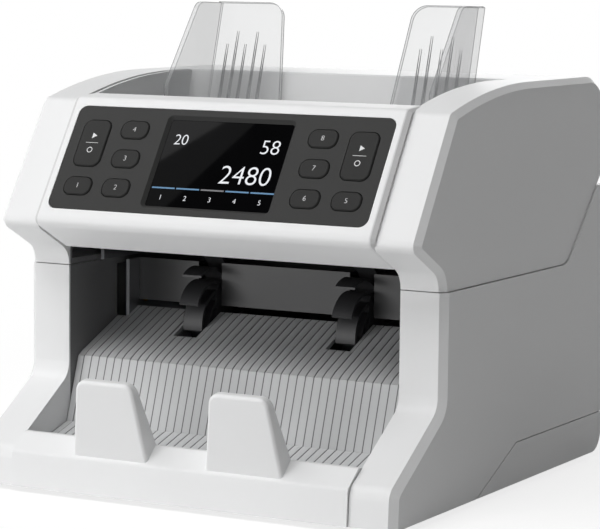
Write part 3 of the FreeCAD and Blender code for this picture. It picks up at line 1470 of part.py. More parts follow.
def make_guide_pinion():
    """Spur pinion with involute flanks, one tooth towards each rack at rest."""
    m, teeth = S.module.value, int(S.pinion_teeth.value)
    pitch = PITCH_RADIUS.value
    base = pitch * math.cos(math.radians(20))
    root, tip = pitch - 1.25 * m, pitch + 0.95 * m

    def spread(radius):
        angle = math.acos(min(1, base / radius))
        return math.tan(angle) - angle

    half = (math.pi * m / 2 - S.tooth_play.value) / (2 * pitch) + spread(pitch)
    flank = [(root, half + 0.02)] + [(r, half - spread(r)) for r in (base, pitch, (pitch + tip) / 2, tip)]
    points = []
    for number in range(teeth):
        middle = math.pi / 2 + 2 * math.pi * number / teeth
        turns = [(r, middle - a) for r, a in flank] + [(r, middle + a) for r, a in flank[::-1]]
        points += [Vector(r * math.cos(turn), r * math.sin(turn), 0) for r, turn in turns]
    blank = Part.Face(Part.makePolygon(points + points[:1])).extrude(Vector(0, 0, S.rack_thick.value))
    bore = Part.makeCylinder(2.5 + S.run_gap.value, S.rack_thick.value)
    pinion = doc.addObject("Part::Feature", "guide_pinion")
    pinion.Shape = blank.cut(bore)
    tilt = Rotation(Vector(1, 0, 0), -S.hopper_slope.value)
    level = (FLOOR_UNDER - S.rack_thick - 0.3).value
    shift = tilt.multVec(Vector(0, S.pinion_run.value, level))
    middle = Vector(0, (S.hopper_depth - MIDDLE).value, (S.hopper_height + S.foot_height).value)
    pinion.Placement = FreeCAD.Placement(middle + shift, tilt)
    keep("guide_pinion", pinion)


# Feed works of the upper unit

def driven_shaft(label, pulley_radius, depth, height):
    """Shaft of the upper unit with its belt pulley turned on, in the left cheek."""
    lip, rim = 1, 2
    shaft, edge, end = S.shaft_radius, pulley_radius + rim, UPPER_OUT + 2
    a, b, c, d = -PULLEY_OUT, lip - PULLEY_OUT, -lip - PULLEY_IN, -PULLEY_IN
    points = [
        (a, 0), (end, 0), (end, shaft), (d, shaft), (d, edge), (c, edge), (c, pulley_radius),
        (b, pulley_radius),
        (b, edge), (a, edge),
    ]
    keep(label, turned(label, points, depth, height))


def make_feed():
    depth, height = S.feed_depth, S.feed_height
    driven_shaft("feed_shaft", S.feed_pulley_radius, depth, height)
    roller_set("feed_rollers", S.feed_radius, S.shaft_radius, (S.feed_offset,), S.feed_width, depth, height)


def make_pickup():
    depth, height = S.pickup_depth, PICKUP_HEIGHT
    driven_shaft("pickup_shaft", S.pickup_pulley_radius, depth, height)
    wide = S.feed_width
    roller_set("pickup_rollers", S.pickup_radius, S.shaft_radius, (S.feed_offset,), wide, depth, height)


def make_pressure_rollers():
    """Free-running roller shaft that presses the note on the transport rollers."""
    thin, radius, end = 2.5, S.pressure_radius, UPPER_OUT
    half = S.roller_width / 2
    points = [(-end, 0), (end, 0), (end, thin)]
    for reach in (S.roller_outer, S.roller_inner, -S.roller_inner, -S.roller_outer):
        near, far = reach - half, reach + half
        points += [(far, thin), (far, radius), (near, radius), (near, thin)]
    points.append((-end, thin))
    keep("pressure_rollers", turned("pressure_rollers", points, S.transport_depth, PRESSURE_HEIGHT))


def make_upper_guide():
    """Ceiling of the pocket, dropping to the level note path behind the stacker wheels."""
    body = new_body("upper_guide")
    front = S.brow_depth + 6
    drop = S.transport_depth - S.pressure_radius - 9
    rear = S.feed_depth - 16
    t = S.guide_wall
    outline = [
        (front, CEILING), (drop, CEILING), (drop + 6, PATH_HIGH), (rear, PATH_HIGH), (rear, PATH_HIGH + t),
        (drop + 7.4, PATH_HIGH + t), (drop + 1.2, CEILING + t), (front, CEILING + t),
    ]
    wide = UPPER_IN - 0.1
    side_pad(body, outline, -wide, wide)
    boxes = []
    for side in (1, -1):
        for reach in (S.roller_inner, S.roller_outer):
            middle, half = side * reach, S.roller_width / 2 + 1
            boxes.append((middle - half, middle + half, S.transport_depth - 7, S.transport_depth + 7))
    plan_cut(body, boxes, 0, PATH_HIGH + 6)
    settle(body, "upper_guide")


def make_upper_frames():
    """Steel side plates of the upper unit, under the hopper floor, with ears on the hinge pins."""
    bush = S.shaft_radius + S.bush_wall
    ear = S.ear_radius
    front = S.hopper_depth + 5
    rear = S.throat_depth - 0.5
    gap = S.floor + 0.05
    low = PATH_HIGH - 0.4
    outline = [
        (front, low), (SEAM_BEND - 6, low), (HINGE_DEPTH + ear * 0.7071, S.hinge_height - ear * 0.7071),
        (HINGE_DEPTH, S.hinge_height + ear), (S.feed_depth + 30, S.feed_height + 26),
        (rear, floor_at(rear) - gap),
        (front, floor_at(front) - gap),
    ]
    body = new_body("upper_frame_right")
    sketch = new_sketch(body, "YZ_Plane", UPPER_IN)
    draw(sketch, outline, {2: ear})
    draw_frame_holes(sketch, [
        (S.feed_depth, S.feed_height, bush), (S.pickup_depth, PICKUP_HEIGHT, bush),
        (S.transport_depth, PRESSURE_HEIGHT, 2.5 + S.run_gap),
        (HINGE_DEPTH, S.hinge_height, S.hinge_radius + S.run_gap),
        (S.hopper_motor_depth, HOPPER_MOTOR_HEIGHT, S.motor_shaft_radius * 2.4),
    ])
    pad(body, sketch, S.plate)
    settle(body, "upper_frame_right")
    keep("upper_frame_left", mirrored(body, "upper_frame_left"))


def make_separation():
    """Rubber pad on a cross bar, a note's thickness off the feed rollers."""
    angle = 55
    wide = UPPER_IN - 0.1
    pad_low, pad_high = S.feed_radius + 0.4, S.feed_radius + 6
    rubber = new_body("separation_pad")
    sketch = new_sketch(rubber, "XY_Plane", pad_low, (S.feed_depth, S.feed_height, angle - 90))
    draw_box(sketch, 0, 0, 2 * (S.feed_offset + S.feed_width / 2), 12)
    pad(rubber, sketch, pad_high - pad_low)
    settle(rubber, "separation_pad")
    holder = new_body("separation_holder")
    sketch = new_sketch(holder, "XY_Plane", pad_high, (S.feed_depth, S.feed_height, angle - 90))
    draw_box(sketch, 0, 0, 2 * wide, 14)
    pad(holder, sketch, 4)
    settle(holder, "separation_holder")


def make_upper_drive():
    motor("hopper_motor", S.hopper_motor_radius, -1, UPPER_IN, S.hopper_motor_depth, HOPPER_MOTOR_HEIGHT)
    rotor("hopper_motor_pulley", -1, UPPER_IN, S.hopper_motor_depth, HOPPER_MOTOR_HEIGHT)
    places = [(S.feed_depth, S.feed_height), (S.pickup_depth, PICKUP_HEIGHT)]
    make_bushes("upper_bearings", places, UPPER_IN, 1)
    make_belt("hopper_belt", [
        (S.feed_depth, S.feed_height, S.feed_pulley_radius),
        (S.pickup_depth, PICKUP_HEIGHT, S.pickup_pulley_radius),
        (S.hopper_motor_depth, HOPPER_MOTOR_HEIGHT, S.motor_pulley_radius),
    ], -1)


def build():
    make_lower_housing()
    make_base_pan()
    make_case_screws()
    make_rubber_feet()
    make_front_lip()
    make_pocket_plate()
    make_lower_guide()
    make_rear_guide()
    make_image_sensor()
    make_lower_frames()
    make_stacker()
    make_transport()
    make_lower_drive()
    make_main_board()
    make_power_supply()
    make_power_inlet()
    make_upper_housing()
    make_display_housing()
    make_keypad_panel()
    make_keys()
    make_display()
    make_key_boards()
    make_hopper_tray()
    make_guides()
    make_guide_pinion()
    make_feed()
    make_pickup()
    make_pressure_rollers()
    make_upper_guide()
    make_upper_frames()
    make_separation()
    make_upper_drive()


def write():
    """Checks every object, then writes one file for each sub-part."""
    doc.recompute()
    for thing in doc.Objects:
        if "Invalid" in thing.State or "Error" in thing.State:
            raise RuntimeError("%s failed: %s" % (thing.Label, thing.State))
    for label, thing in nodes.items():
        if thing.Shape.isNull() or not thing.Shape.isValid():
            raise RuntimeError("%s has no valid shape" % label)
    os.makedirs("parts", exist_ok=True)
    for label, thing in nodes.items():
        thing.Shape.exportStep("parts/%s.step" % label)
    print(len(nodes), "sub-parts written")


build()
write()
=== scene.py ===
"""Looks of the desktop banknote counter: a finish for every part, the small pieces that go on the parts,
the studio and the camera. Lengths are in metres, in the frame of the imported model, unless a comment says
otherwise.
"""
import json
import math

import bmesh
import bpy
from mathutils import Matrix, Vector
from mathutils.bvhtree import BVHTree


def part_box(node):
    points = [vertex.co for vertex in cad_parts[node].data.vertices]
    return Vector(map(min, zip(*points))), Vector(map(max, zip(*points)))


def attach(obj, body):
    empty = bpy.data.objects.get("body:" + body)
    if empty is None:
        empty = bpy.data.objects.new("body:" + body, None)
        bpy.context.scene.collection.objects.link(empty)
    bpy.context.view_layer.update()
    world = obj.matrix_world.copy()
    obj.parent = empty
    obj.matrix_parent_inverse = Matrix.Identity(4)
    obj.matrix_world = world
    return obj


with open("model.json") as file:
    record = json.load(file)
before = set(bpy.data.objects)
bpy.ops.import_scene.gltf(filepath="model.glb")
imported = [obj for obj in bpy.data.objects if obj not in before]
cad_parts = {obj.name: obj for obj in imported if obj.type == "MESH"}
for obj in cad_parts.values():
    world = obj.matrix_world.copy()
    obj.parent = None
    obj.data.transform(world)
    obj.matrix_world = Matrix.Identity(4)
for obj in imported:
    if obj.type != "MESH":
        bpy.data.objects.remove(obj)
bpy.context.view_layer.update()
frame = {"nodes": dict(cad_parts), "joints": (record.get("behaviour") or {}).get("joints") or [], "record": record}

MM = 0.001

# Node trees


def new_tree(kind, name, inputs, outputs):
    """A node tree with named inputs and outputs, and all that its nodes are joined with."""
    tree = bpy.data.node_groups.new(name, kind)
    for way, sockets in (("INPUT", inputs), ("OUTPUT", outputs)):
        for socket, form in sockets.items():
            tree.interface.new_socket(name=socket, in_out=way, socket_type="NodeSocket" + form)
    nodes = tree.nodes
    given, result = nodes.new("NodeGroupInput").outputs, nodes.new("NodeGroupOutput").inputs
    return tree, nodes, tree.links, given, result


def join(links, value, socket):
    """Joins a node's output to a socket, or sets the socket to a plain value."""
    if isinstance(value, (int, float, tuple)):
        socket.default_value = value
    else:
        links.new(value, socket)


def set_inputs(node, **values):
    """Sets inputs of a node to plain values, by their names with _ for a space."""
    for name, value in values.items():
        node.inputs[name.replace("_", " ")].default_value = value
    return node


def object_place(nodes):
    """Object coordinates, which every pattern is laid out on."""
    return nodes.new("ShaderNodeTexCoord").outputs["Object"]


def object_axes(nodes, links):
    """Object coordinates, each axis by itself."""
    axes = nodes.new("ShaderNodeSeparateXYZ")
    links.new(object_place(nodes), axes.inputs["Vector"])
    return axes.outputs


def math_node(nodes, links, operation, *values):
    """Result of an operation on nodes' outputs and numbers."""
    node = nodes.new("ShaderNodeMath")
    node.operation = operation
    for value, socket in zip(values, node.inputs):
        join(links, value, socket)
    return node.outputs["Value"]


def ranged(nodes, links, value, low, high):
    """A 0 to 1 value spread between two limits."""
    spread = nodes.new("ShaderNodeMapRange")
    links.new(value, spread.inputs["Value"])
    join(links, low, spread.inputs["To Min"])
    join(links, high, spread.inputs["To Max"])
    return spread.outputs["Result"]


def eased(nodes, links, value, start, end):
    """0 up to a start, 1 from an end on, and a smooth rise between them."""
    rise = set_inputs(nodes.new("ShaderNodeMapRange"), From_Min=start, From_Max=end)
    rise.interpolation_type = "SMOOTHSTEP"
    links.new(value, rise.inputs["Value"])
    return rise.outputs["Result"]


def scaled(nodes, links, vector, amount):
    """A colour or vector times an amount."""
    node = nodes.new("ShaderNodeVectorMath")
    node.operation = "SCALE"
    join(links, vector, node.inputs[0])
    links.new(amount, node.inputs["Scale"])
    return node.outputs["Vector"]


# Places of the sockets of a Mix node that mixes colours
MIX_AMOUNT, MIX_FIRST, MIX_SECOND, MIX_RESULT = 0, 6, 7, 2


def mixed(nodes, links, amount, first, second):
    """A colour between a first and a second one."""
    mix = nodes.new("ShaderNodeMix")
    mix.data_type = "RGBA"
    links.new(amount, mix.inputs[MIX_AMOUNT])
    join(links, first, mix.inputs[MIX_FIRST])
    join(links, second, mix.inputs[MIX_SECOND])
    return mix.outputs[MIX_RESULT]


def noise(nodes, links, scale, detail, stretch=None):
    """Noise on Object coordinates, stretched along an axis where a finish has a direction."""
    place = object_place(nodes)
    if stretch is not None:
        mapping = nodes.new("ShaderNodeMapping")
        links.new(place, mapping.inputs["Vector"])
        join(links, stretch, mapping.inputs["Scale"])
        place = mapping.outputs["Vector"]
    texture = set_inputs(nodes.new("ShaderNodeTexNoise"), Detail=detail)
    links.new(place, texture.inputs["Vector"])
    join(links, scale, texture.inputs["Scale"])
    return texture.outputs["Fac"]


# Shader node groups

# Clouds over moulded plastic and its grain: how fine, how detailed, and how far they spread the gloss
CLOUD_SCALE, CLOUD_DETAIL = 23.0, 3.0
GRAIN_SCALE, GRAIN_DETAIL = 2600.0, 1.0
GLOSS_SPREAD = 2.6
# Marks on metal: how fine, how detailed, and their darkest and lightest shade
MARK_SCALE, MARK_DETAIL = 40.0, 4.0
MARK_SHADES = (0.88, 1.08)


def make_moulding_group():
    """Moulded plastic: spark-eroded grain, slow drift of colour and gloss."""
    sizes = {"Drift": "Float", "Gloss Low": "Float", "Gloss High": "Float", "Grain Scale": "Float"}
    outputs = {"Colour": "Color", "Roughness": "Float", "Grain": "Float"}
    tree, nodes, links, given, result = new_tree(
        "ShaderNodeTree", "moulding", {"Colour": "Color", **sizes}, outputs)
    cloud = noise(nodes, links, CLOUD_SCALE, CLOUD_DETAIL)
    fine = noise(nodes, links, given["Grain Scale"], GRAIN_DETAIL)
    dark = math_node(nodes, links, "SUBTRACT", 1.0, given["Drift"])
    light = math_node(nodes, links, "ADD", 1.0, given["Drift"])
    shade = ranged(nodes, links, cloud, dark, light)
    links.new(scaled(nodes, links, given["Colour"], shade), result["Colour"])
    both = math_node(nodes, links, "MULTIPLY", cloud, fine)
    spread = math_node(nodes, links, "MULTIPLY", both, GLOSS_SPREAD)
    gloss = ranged(nodes, links, spread, given["Gloss Low"], given["Gloss High"])
    links.new(gloss, result["Roughness"])
    links.new(fine, result["Grain"])
    return tree


def make_brushing_group():
    """Metal with fine marks along one direction, in colour, gloss and height."""
    inputs = {"Colour": "Color", "Gloss Low": "Float", "Gloss High": "Float", "Stretch": "Vector"}
    outputs = {"Colour": "Color", "Roughness": "Float", "Marks": "Float"}
    tree, nodes, links, given, result = new_tree("ShaderNodeTree", "brushing", inputs, outputs)
    marks = noise(nodes, links, MARK_SCALE, MARK_DETAIL, given["Stretch"])
    shade = ranged(nodes, links, marks, *MARK_SHADES)
    links.new(scaled(nodes, links, given["Colour"], shade), result["Colour"])
    gloss = ranged(nodes, links, marks, given["Gloss Low"], given["Gloss High"])
    links.new(gloss, result["Roughness"])
    links.new(marks, result["Marks"])
    return tree


MOULDING = make_moulding_group()
BRUSHING = make_brushing_group()

# Ways to make a material

# Heights of a plastic's grain and of the marks on metal
GRAIN_DEPTH = 0.02 * MM
MARK_DEPTH = 0.01 * MM


def new_material(name):
    """A material, its node tree and its shader."""
    material = bpy.data.materials.new(name)
    material.use_nodes = True
    tree = material.node_tree
    return material, tree, tree.nodes["Principled BSDF"]


def place_group(tree, group, **values):
    """A shader group placed in a material, with values of its own."""
    node = tree.nodes.new("ShaderNodeGroup")
    node.node_tree = group
    return set_inputs(node, **values)


def place_moulding(tree, colour, gloss, drift, grain=GRAIN_SCALE):
    """The moulding group with a colour, and with its gloss between two roughnesses."""
    return place_group(
        tree, MOULDING, Colour=(*colour, 1), Drift=drift,
        Gloss_Low=gloss[0], Gloss_High=gloss[1], Grain_Scale=grain,
    )


def add_bump(tree, shader, height, depth):
    """Relief from a height, as deep as is said."""
    bump = set_inputs(tree.nodes.new("ShaderNodeBump"), Distance=depth)
    tree.links.new(height, bump.inputs["Height"])
    tree.links.new(bump.outputs["Normal"], shader.inputs["Normal"])


def lay_finish(tree, shader, finish, relief, depth, colour=None):
    """Feeds a material's shader from a placed group, with a colour of its own where one is given."""
    if colour is None:
        colour = finish.outputs["Colour"]
    tree.links.new(colour, shader.inputs["Base Color"])
    tree.links.new(finish.outputs["Roughness"], shader.inputs["Roughness"])
    add_bump(tree, shader, finish.outputs[relief], depth)


def moulded(name, colour, gloss, drift, grain=GRAIN_SCALE, depth=GRAIN_DEPTH, shine=0.5):
    """A moulded plastic of one colour."""
    material, tree, shader = new_material(name)
    set_inputs(shader, Specular_IOR_Level=shine)
    lay_finish(tree, shader, place_moulding(tree, colour, gloss, drift, grain), "Grain", depth)
    return material


def brushed(name, colour, gloss, stretch):
    """A metal with marks along one direction."""
    material, tree, shader = new_material(name)
    set_inputs(shader, Metallic=1.0)
    finish = place_group(
        tree, BRUSHING, Colour=(*colour, 1), Gloss_Low=gloss[0], Gloss_High=gloss[1], Stretch=stretch,
    )
    lay_finish(tree, shader, finish, "Marks", MARK_DEPTH)
    return material


# Fineness of the screen's grid of picture elements, and its darkest and lightest shade
GRID_SCALE = 5200.0
GRID_SHADES = (0.86, 1.0)


def glowing(name, colour):
    """A lit part of the screen, with the fine grid of its picture elements."""
    material, tree, shader = new_material(name)
    nodes, links = tree.nodes, tree.links
    shade = ranged(nodes, links, noise(nodes, links, GRID_SCALE, 0.0), *GRID_SHADES)
    links.new(scaled(nodes, links, colour, shade), shader.inputs["Emission Color"])
    set_inputs(shader, Emission_Strength=1.0, Base_Color=(0.02, 0.02, 0.02, 1), Roughness=0.4)
    return material


# Film on the screen cover: how fine, how detailed, and the cover's colours and roughness along with it
FILM_SCALE, FILM_DETAIL = 60.0, 3.0
FILM_COLOURS = ((0.0018, 0.0018, 0.002, 1), (0.003, 0.003, 0.0034, 1))
FILM_GLOSS = (0.01, 0.03)


def make_screen_material():
    """Dark coated glass over the display, faintly uneven in gloss."""
    material, tree, shader = new_material("screen_cover_glass")
    nodes, links = tree.nodes, tree.links
    set_inputs(shader, Specular_IOR_Level=0.06)
    film = noise(nodes, links, FILM_SCALE, FILM_DETAIL)
    links.new(mixed(nodes, links, film, *FILM_COLOURS), shader.inputs["Base Color"])
    links.new(ranged(nodes, links, film, *FILM_GLOSS), shader.inputs["Roughness"])
    return material


# Flow marks in the clear guides: how fine, how detailed, how stretched and how deep
FLOW_SCALE, FLOW_DETAIL = 18.0, 3.0
FLOW_STRETCH = (1.0, 1.0, 0.25)
FLOW_DEPTH = 0.05 * MM
# How much the sheet covers, seen face on and edge on, what the flow marks add to that, and its roughness; the
# face-on cover is the sheet's faint tint, the extra cover edge on is painted reflection
CLEAR_COVER = (0.08, 0.46)
FLOW_COVER = (0.0, 0.05)
CLEAR_GLOSS = (0.05, 0.14)


def make_clear_material():
    """Clear moulded sheet: mostly see-through with a faint grey tint, greyer where it is seen edge on as painted
    reflection, with faint flow marks.
    """
    material, tree, shader = new_material("clear_guide_plastic")
    nodes, links = tree.nodes, tree.links
    flow = noise(nodes, links, FLOW_SCALE, FLOW_DETAIL, FLOW_STRETCH)
    facing = set_inputs(nodes.new("ShaderNodeLayerWeight"), Blend=0.32)
    # Painted reflection: the grey cover rises where the sheet is seen edge on
    cover = ranged(nodes, links, facing.outputs["Facing"], *CLEAR_COVER)
    marks = ranged(nodes, links, flow, *FLOW_COVER)
    links.new(math_node(nodes, links, "ADD", cover, marks), shader.inputs["Alpha"])
    set_inputs(shader, Base_Color=(0.50, 0.51, 0.52, 1))
    links.new(ranged(nodes, links, flow, *CLEAR_GLOSS), shader.inputs["Roughness"])
    add_bump(tree, shader, flow, FLOW_DEPTH)
    return material


# Grooves between the ribs of the pocket plate, where the painted shade in them fades out in parts of half their
# width, and the colour of that painted shade
GROOVE_PITCH = 5.0 * MM
GROOVE_HALF = 0.3 * MM
GROOVE_SHADE_FADE = (0.6, 1.5)
GROOVE_SHADE_COLOUR = (0.12, 0.12, 0.125, 1)


def make_plate_material():
    """Grey moulded plate, with painted shade in the bottoms of the grooves between its ribs."""
    material, tree, shader = new_material("grooved_plate_plastic")
    nodes, links = tree.nodes, tree.links
    finish = place_moulding(tree, (0.60, 0.605, 0.61), (0.36, 0.48), drift=0.02)
    along = math_node(nodes, links, "DIVIDE", object_axes(nodes, links)["X"], GROOVE_PITCH)
    step = math_node(nodes, links, "PINGPONG", math_node(nodes, links, "ADD", along, 0.5), 0.5)
    start, end = (GROOVE_HALF * share / GROOVE_PITCH for share in GROOVE_SHADE_FADE)
    ridge = eased(nodes, links, step, start, end)
    # Painted shade: dark colour in the bottoms of the grooves
    colour = mixed(nodes, links, ridge, GROOVE_SHADE_COLOUR, finish.outputs["Colour"])
    lay_finish(tree, shader, finish, "Grain", GRAIN_DEPTH, colour)
    return material


CASING_COLOUR = (0.80, 0.803, 0.806)
CASING_GLOSS = (0.42, 0.54)
CASING_DRIFT = 0.012
# Box round the inside faces of the casing beside the pocket, where the casing is darker: how far out, between
# which depths and heights, and the darker colour
DARKENED_HALF = 102.4 * MM
DARKENED_DEPTHS = (-75.5 * MM, 133.6 * MM)
DARKENED_HEIGHTS = (30 * MM, 131.5 * MM)
DARKENED_COLOUR = (0.17, 0.17, 0.172, 1)


def make_lined_casing():
    """Casing plastic that is darker in a box round the inside faces of the cheeks, behind the pillars."""
    material, tree, shader = new_material("darkened_casing_plastic")
    nodes, links = tree.nodes, tree.links
    finish = place_moulding(tree, CASING_COLOUR, CASING_GLOSS, CASING_DRIFT)
    axes = object_axes(nodes, links)
    across = math_node(nodes, links, "ABSOLUTE", axes["X"])
    darkened = math_node(nodes, links, "LESS_THAN", across, DARKENED_HALF)
    for axis, (start, end) in (("Y", DARKENED_DEPTHS), ("Z", DARKENED_HEIGHTS)):
        for test, limit in (("GREATER_THAN", start), ("LESS_THAN", end)):
            held = math_node(nodes, links, test, axes[axis], limit)
            darkened = math_node(nodes, links, "MULTIPLY", darkened, held)
    # Darker colour inside the box beside the pocket
    colour = mixed(nodes, links, darkened, finish.outputs["Colour"], DARKENED_COLOUR)
    lay_finish(tree, shader, finish, "Grain", GRAIN_DEPTH, colour)
    return material


# Circuit boards: fineness of the tracks, their reach in a cell, and colours between them and on them
TRACK_SCALE = 260.0
TRACK_REACH = 0.28
BOARD_COLOURS = ((0.01, 0.085, 0.035, 1), (0.03, 0.17, 0.07, 1))


def make_board_material():
    """Circuit board lacquer with copper tracks showing through as lighter lines."""
    material, tree, shader = new_material("circuit_board")
    nodes, links = tree.nodes, tree.links
    cells = set_inputs(nodes.new("ShaderNodeTexVoronoi"), Scale=TRACK_SCALE)
    cells.distance = "MANHATTAN"
    links.new(object_place(nodes), cells.inputs["Vector"])
    track = math_node(nodes, links, "LESS_THAN", cells.outputs["Distance"], TRACK_REACH)
    links.new(mixed(nodes, links, track, *BOARD_COLOURS), shader.inputs["Base Color"])
    set_inputs(shader, Roughness=0.35)
    return material


# Materials: colour, gloss between two roughnesses, then a plastic's drift of colour or a metal's stretch

CHARCOAL = {"drift": 0.04, "grain": 3200.0, "shine": 0.16}
MATERIALS = {
    "casing_white": moulded("casing_white_plastic", CASING_COLOUR, CASING_GLOSS, CASING_DRIFT),
    "pocket_grey": moulded("pocket_grey_plastic", (0.52, 0.525, 0.53), (0.38, 0.5), 0.02),
    "keypad_charcoal": moulded("keypad_charcoal_plastic", (0.028, 0.028, 0.0275), (0.45, 0.58), **CHARCOAL),
    "guide_black": moulded("guide_black_plastic", (0.012, 0.012, 0.013), (0.35, 0.5), 0.06),
    "screen_black": make_screen_material(),
    "clear_plastic": make_clear_material(),
    "plate_steel": brushed("zinc_plate_steel", (0.50, 0.51, 0.53), (0.3, 0.5), (1.0, 0.05, 1.0)),
    "shaft_steel": brushed("ground_shaft_steel", (0.62, 0.62, 0.63), (0.16, 0.3), (1.0, 0.2, 0.2)),
    "roller_rubber": moulded(
        "roller_rubber", (0.022, 0.022, 0.024), (0.62, 0.8), 0.1, grain=1400.0, depth=0.06 * MM),
    "wheel_plastic": moulded("wheel_black_plastic", (0.03, 0.03, 0.032), (0.4, 0.55), 0.06),
    "motor_can": brushed("motor_can_steel", (0.30, 0.31, 0.33), (0.35, 0.5), (1.0, 0.1, 0.1)),
    "bush_brass": brushed("bush_sintered_brass", (0.62, 0.44, 0.17), (0.35, 0.55), (0.4, 1.0, 1.0)),
    "board_green": make_board_material(),
}
DARKENED = make_lined_casing()
OWN_MATERIALS = {
    "pocket_plate": make_plate_material(),
    "hopper_tray": moulded("hopper_grey_plastic", (0.76, 0.763, 0.766), (0.4, 0.52), 0.015),
    "lower_housing": DARKENED,
    "upper_housing": DARKENED,
}
GLOW_WHITE = glowing("screen_white_light", (0.86, 0.88, 0.92))
GLOW_BLUE = glowing("screen_blue_light", (0.055, 0.20, 0.38))
GLOW_GREY = glowing("screen_grey_light", (0.12, 0.12, 0.13))
LEGEND = moulded("printed_sign_white", (0.74, 0.74, 0.75), (0.45, 0.6), 0.03)
# Grey of the seam strips: painted shade of the gaps between the panel and the cheeks
SEAM_SHADE = moulded("seam_painted_shade_grey", (0.6, 0.6, 0.603), (0.6, 0.75), 0.05, grain=1800.0)
# Grey of the guide edge beads: painted light and shade of the clear sheet's edges
EDGE_PAINTED_LIGHT = moulded("guide_edge_painted_light", (0.30, 0.305, 0.31), (0.08, 0.16), 0.03)
KEY_PLASTIC = moulded("key_charcoal_plastic", (0.013, 0.013, 0.0126), (0.42, 0.54), **CHARCOAL)
PLATED = brushed("bright_plated_metal", (0.66, 0.655, 0.64), (0.22, 0.36), (0.3, 1.0, 1.0))
GILDED = brushed("gilded_contact_metal", (0.80, 0.58, 0.22), (0.2, 0.34), (1.0, 0.2, 1.0))


def finish_nodes():
    """Gives every part of the frame the material of its slot, or one of its own."""
    for entry in frame["record"]["subparts"]:
        part = frame["nodes"][entry["node"]]
        part.data.materials.clear()
        usual = KEY_PLASTIC if entry["node"].endswith("_key") else MATERIALS[entry["material_slot"]]
        part.data.materials.append(OWN_MATERIALS.get(entry["node"], usual))


# Meshes and pieces

# Height of printing over the surface under it, thickness of its ink, and how near points are one
PRINT_HEIGHT = 0.06 * MM
INK_DEPTH = 0.05 * MM
SAME_POINT = 0.001 * MM
# How much slimmer figures are than their typeface, in parts of their size
THINNING = 0.012


def add_object(name, data):
    """A new object in the scene."""
    thing = bpy.data.objects.new(name, data)
    bpy.context.scene.collection.objects.link(thing)
    return thing


def bmesh_to_mesh(shape):
    """Plain mesh of a shape, which is then done with."""
    mesh = bpy.data.meshes.new("shape")
    shape.to_mesh(mesh)
    shape.free()
    return mesh


def take_shape(holder):
    """Shape that an object shows with its modifiers, after which the object is removed."""
    bpy.context.view_layer.update()
    mesh = bpy.data.meshes.new_from_object(holder.evaluated_get(bpy.context.evaluated_depsgraph_get()))
    holder.modifiers.clear()
    bpy.data.objects.remove(holder)
    shape = bmesh.new()
    shape.from_mesh(mesh)
    bpy.data.meshes.remove(mesh)
    return shape


def print_mesh(shape):
    """Closed mesh of a flat drawing, as thick as ink below it."""
    bmesh.ops.remove_doubles(shape, verts=shape.verts, dist=SAME_POINT)
    bmesh.ops.dissolve_degenerate(shape, edges=shape.edges, dist=SAME_POINT)
    copy = bmesh.ops.extrude_face_region(shape, geom=list(shape.faces), use_keep_orig=True)
    under = [thing for thing in copy["geom"] if isinstance(thing, bmesh.types.BMVert)]
    bmesh.ops.translate(shape, verts=under, vec=(0, 0, -INK_DEPTH))
    bmesh.ops.recalc_face_normals(shape, faces=shape.faces)
    return bmesh_to_mesh(shape)


def flat_mesh(outlines):
    """Printed mesh of polygons, each a list of points."""
    shape = bmesh.new()
    for outline in outlines:
        shape.faces.new([shape.verts.new((x, y, 0)) for x, y in outline])
    return print_mesh(shape)


def text_mesh(words, size, align="CENTER"):
    """Slim figures as a printed mesh, about the origin or set from it."""
    curve = bpy.data.curves.new("figures", "FONT")
    curve.body = words
    curve.size = size
    curve.offset = -THINNING * size
    curve.align_x = align
    curve.align_y = "CENTER"
    shape = take_shape(add_object("figures", curve))
    bpy.data.curves.remove(curve)
    return print_mesh(shape)


def rectangle(wide, tall):
    """Corners of a rectangle about the origin, from half its width and height."""
    return [(-wide, -tall), (wide, -tall), (wide, tall), (-wide, tall)]


def ring_outline(radius, line, steps=28):
    """A thin ring as a row of four-sided pieces."""
    inner, outer = radius - line / 2, radius + line / 2
    pieces = []
    for step in range(steps):
        a, b = (2 * math.pi * (step + n) / steps for n in (0, 1))
        pieces.append([
            (inner * math.cos(a), inner * math.sin(a)), (outer * math.cos(a), outer * math.sin(a)),
            (outer * math.cos(b), outer * math.sin(b)), (inner * math.cos(b), inner * math.sin(b)),
        ])
    return pieces


def rounded_loop(shape, middle, half_wide, half_tall, radius, depth, steps=4):
    """New points round an upright rectangle with rounded corners."""
    loop = []
    for number, (side, rise) in enumerate(((1, 1), (-1, 1), (-1, -1), (1, -1))):
        for step in range(steps + 1):
            angle = math.pi / 2 * (number + step / steps)
            x = middle.x + side * (half_wide - radius) + radius * math.cos(angle)
            z = middle.z + rise * (half_tall - radius) + radius * math.sin(angle)
            loop.append(shape.verts.new((x, depth, z)))
    return loop


def bridge(shape, loops):
    """Walls from each loop of points to the next."""
    for one, other in zip(loops, loops[1:]):
        for number in range(len(one)):
            after = (number + 1) % len(one)
            shape.faces.new((one[number], one[after], other[after], other[number]))


def add_bar(shape, loops):
    """A closed bar through loops of points."""
    bridge(shape, loops)
    shape.faces.new(loops[0])
    shape.faces.new(loops[-1])


def add_piece(name, parts, material, body):
    """Joins placed meshes into one piece that rides on a body."""
    shape = bmesh.new()
    for mesh, matrix in parts:
        mesh.transform(matrix)
        shape.from_mesh(mesh)
        bpy.data.meshes.remove(mesh)
    mesh = bmesh_to_mesh(shape)
    mesh.name = name
    mesh.materials.append(material)
    piece = add_object(name, mesh)
    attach(piece, body)


def add_shape(name, shape, material, body):
    """One piece from a shape that is built in its place, with its faces turned outwards."""
    bmesh.ops.recalc_face_normals(shape, faces=shape.faces)
    add_piece(name, [(bmesh_to_mesh(shape), Matrix())], material, body)


# Geometry trees


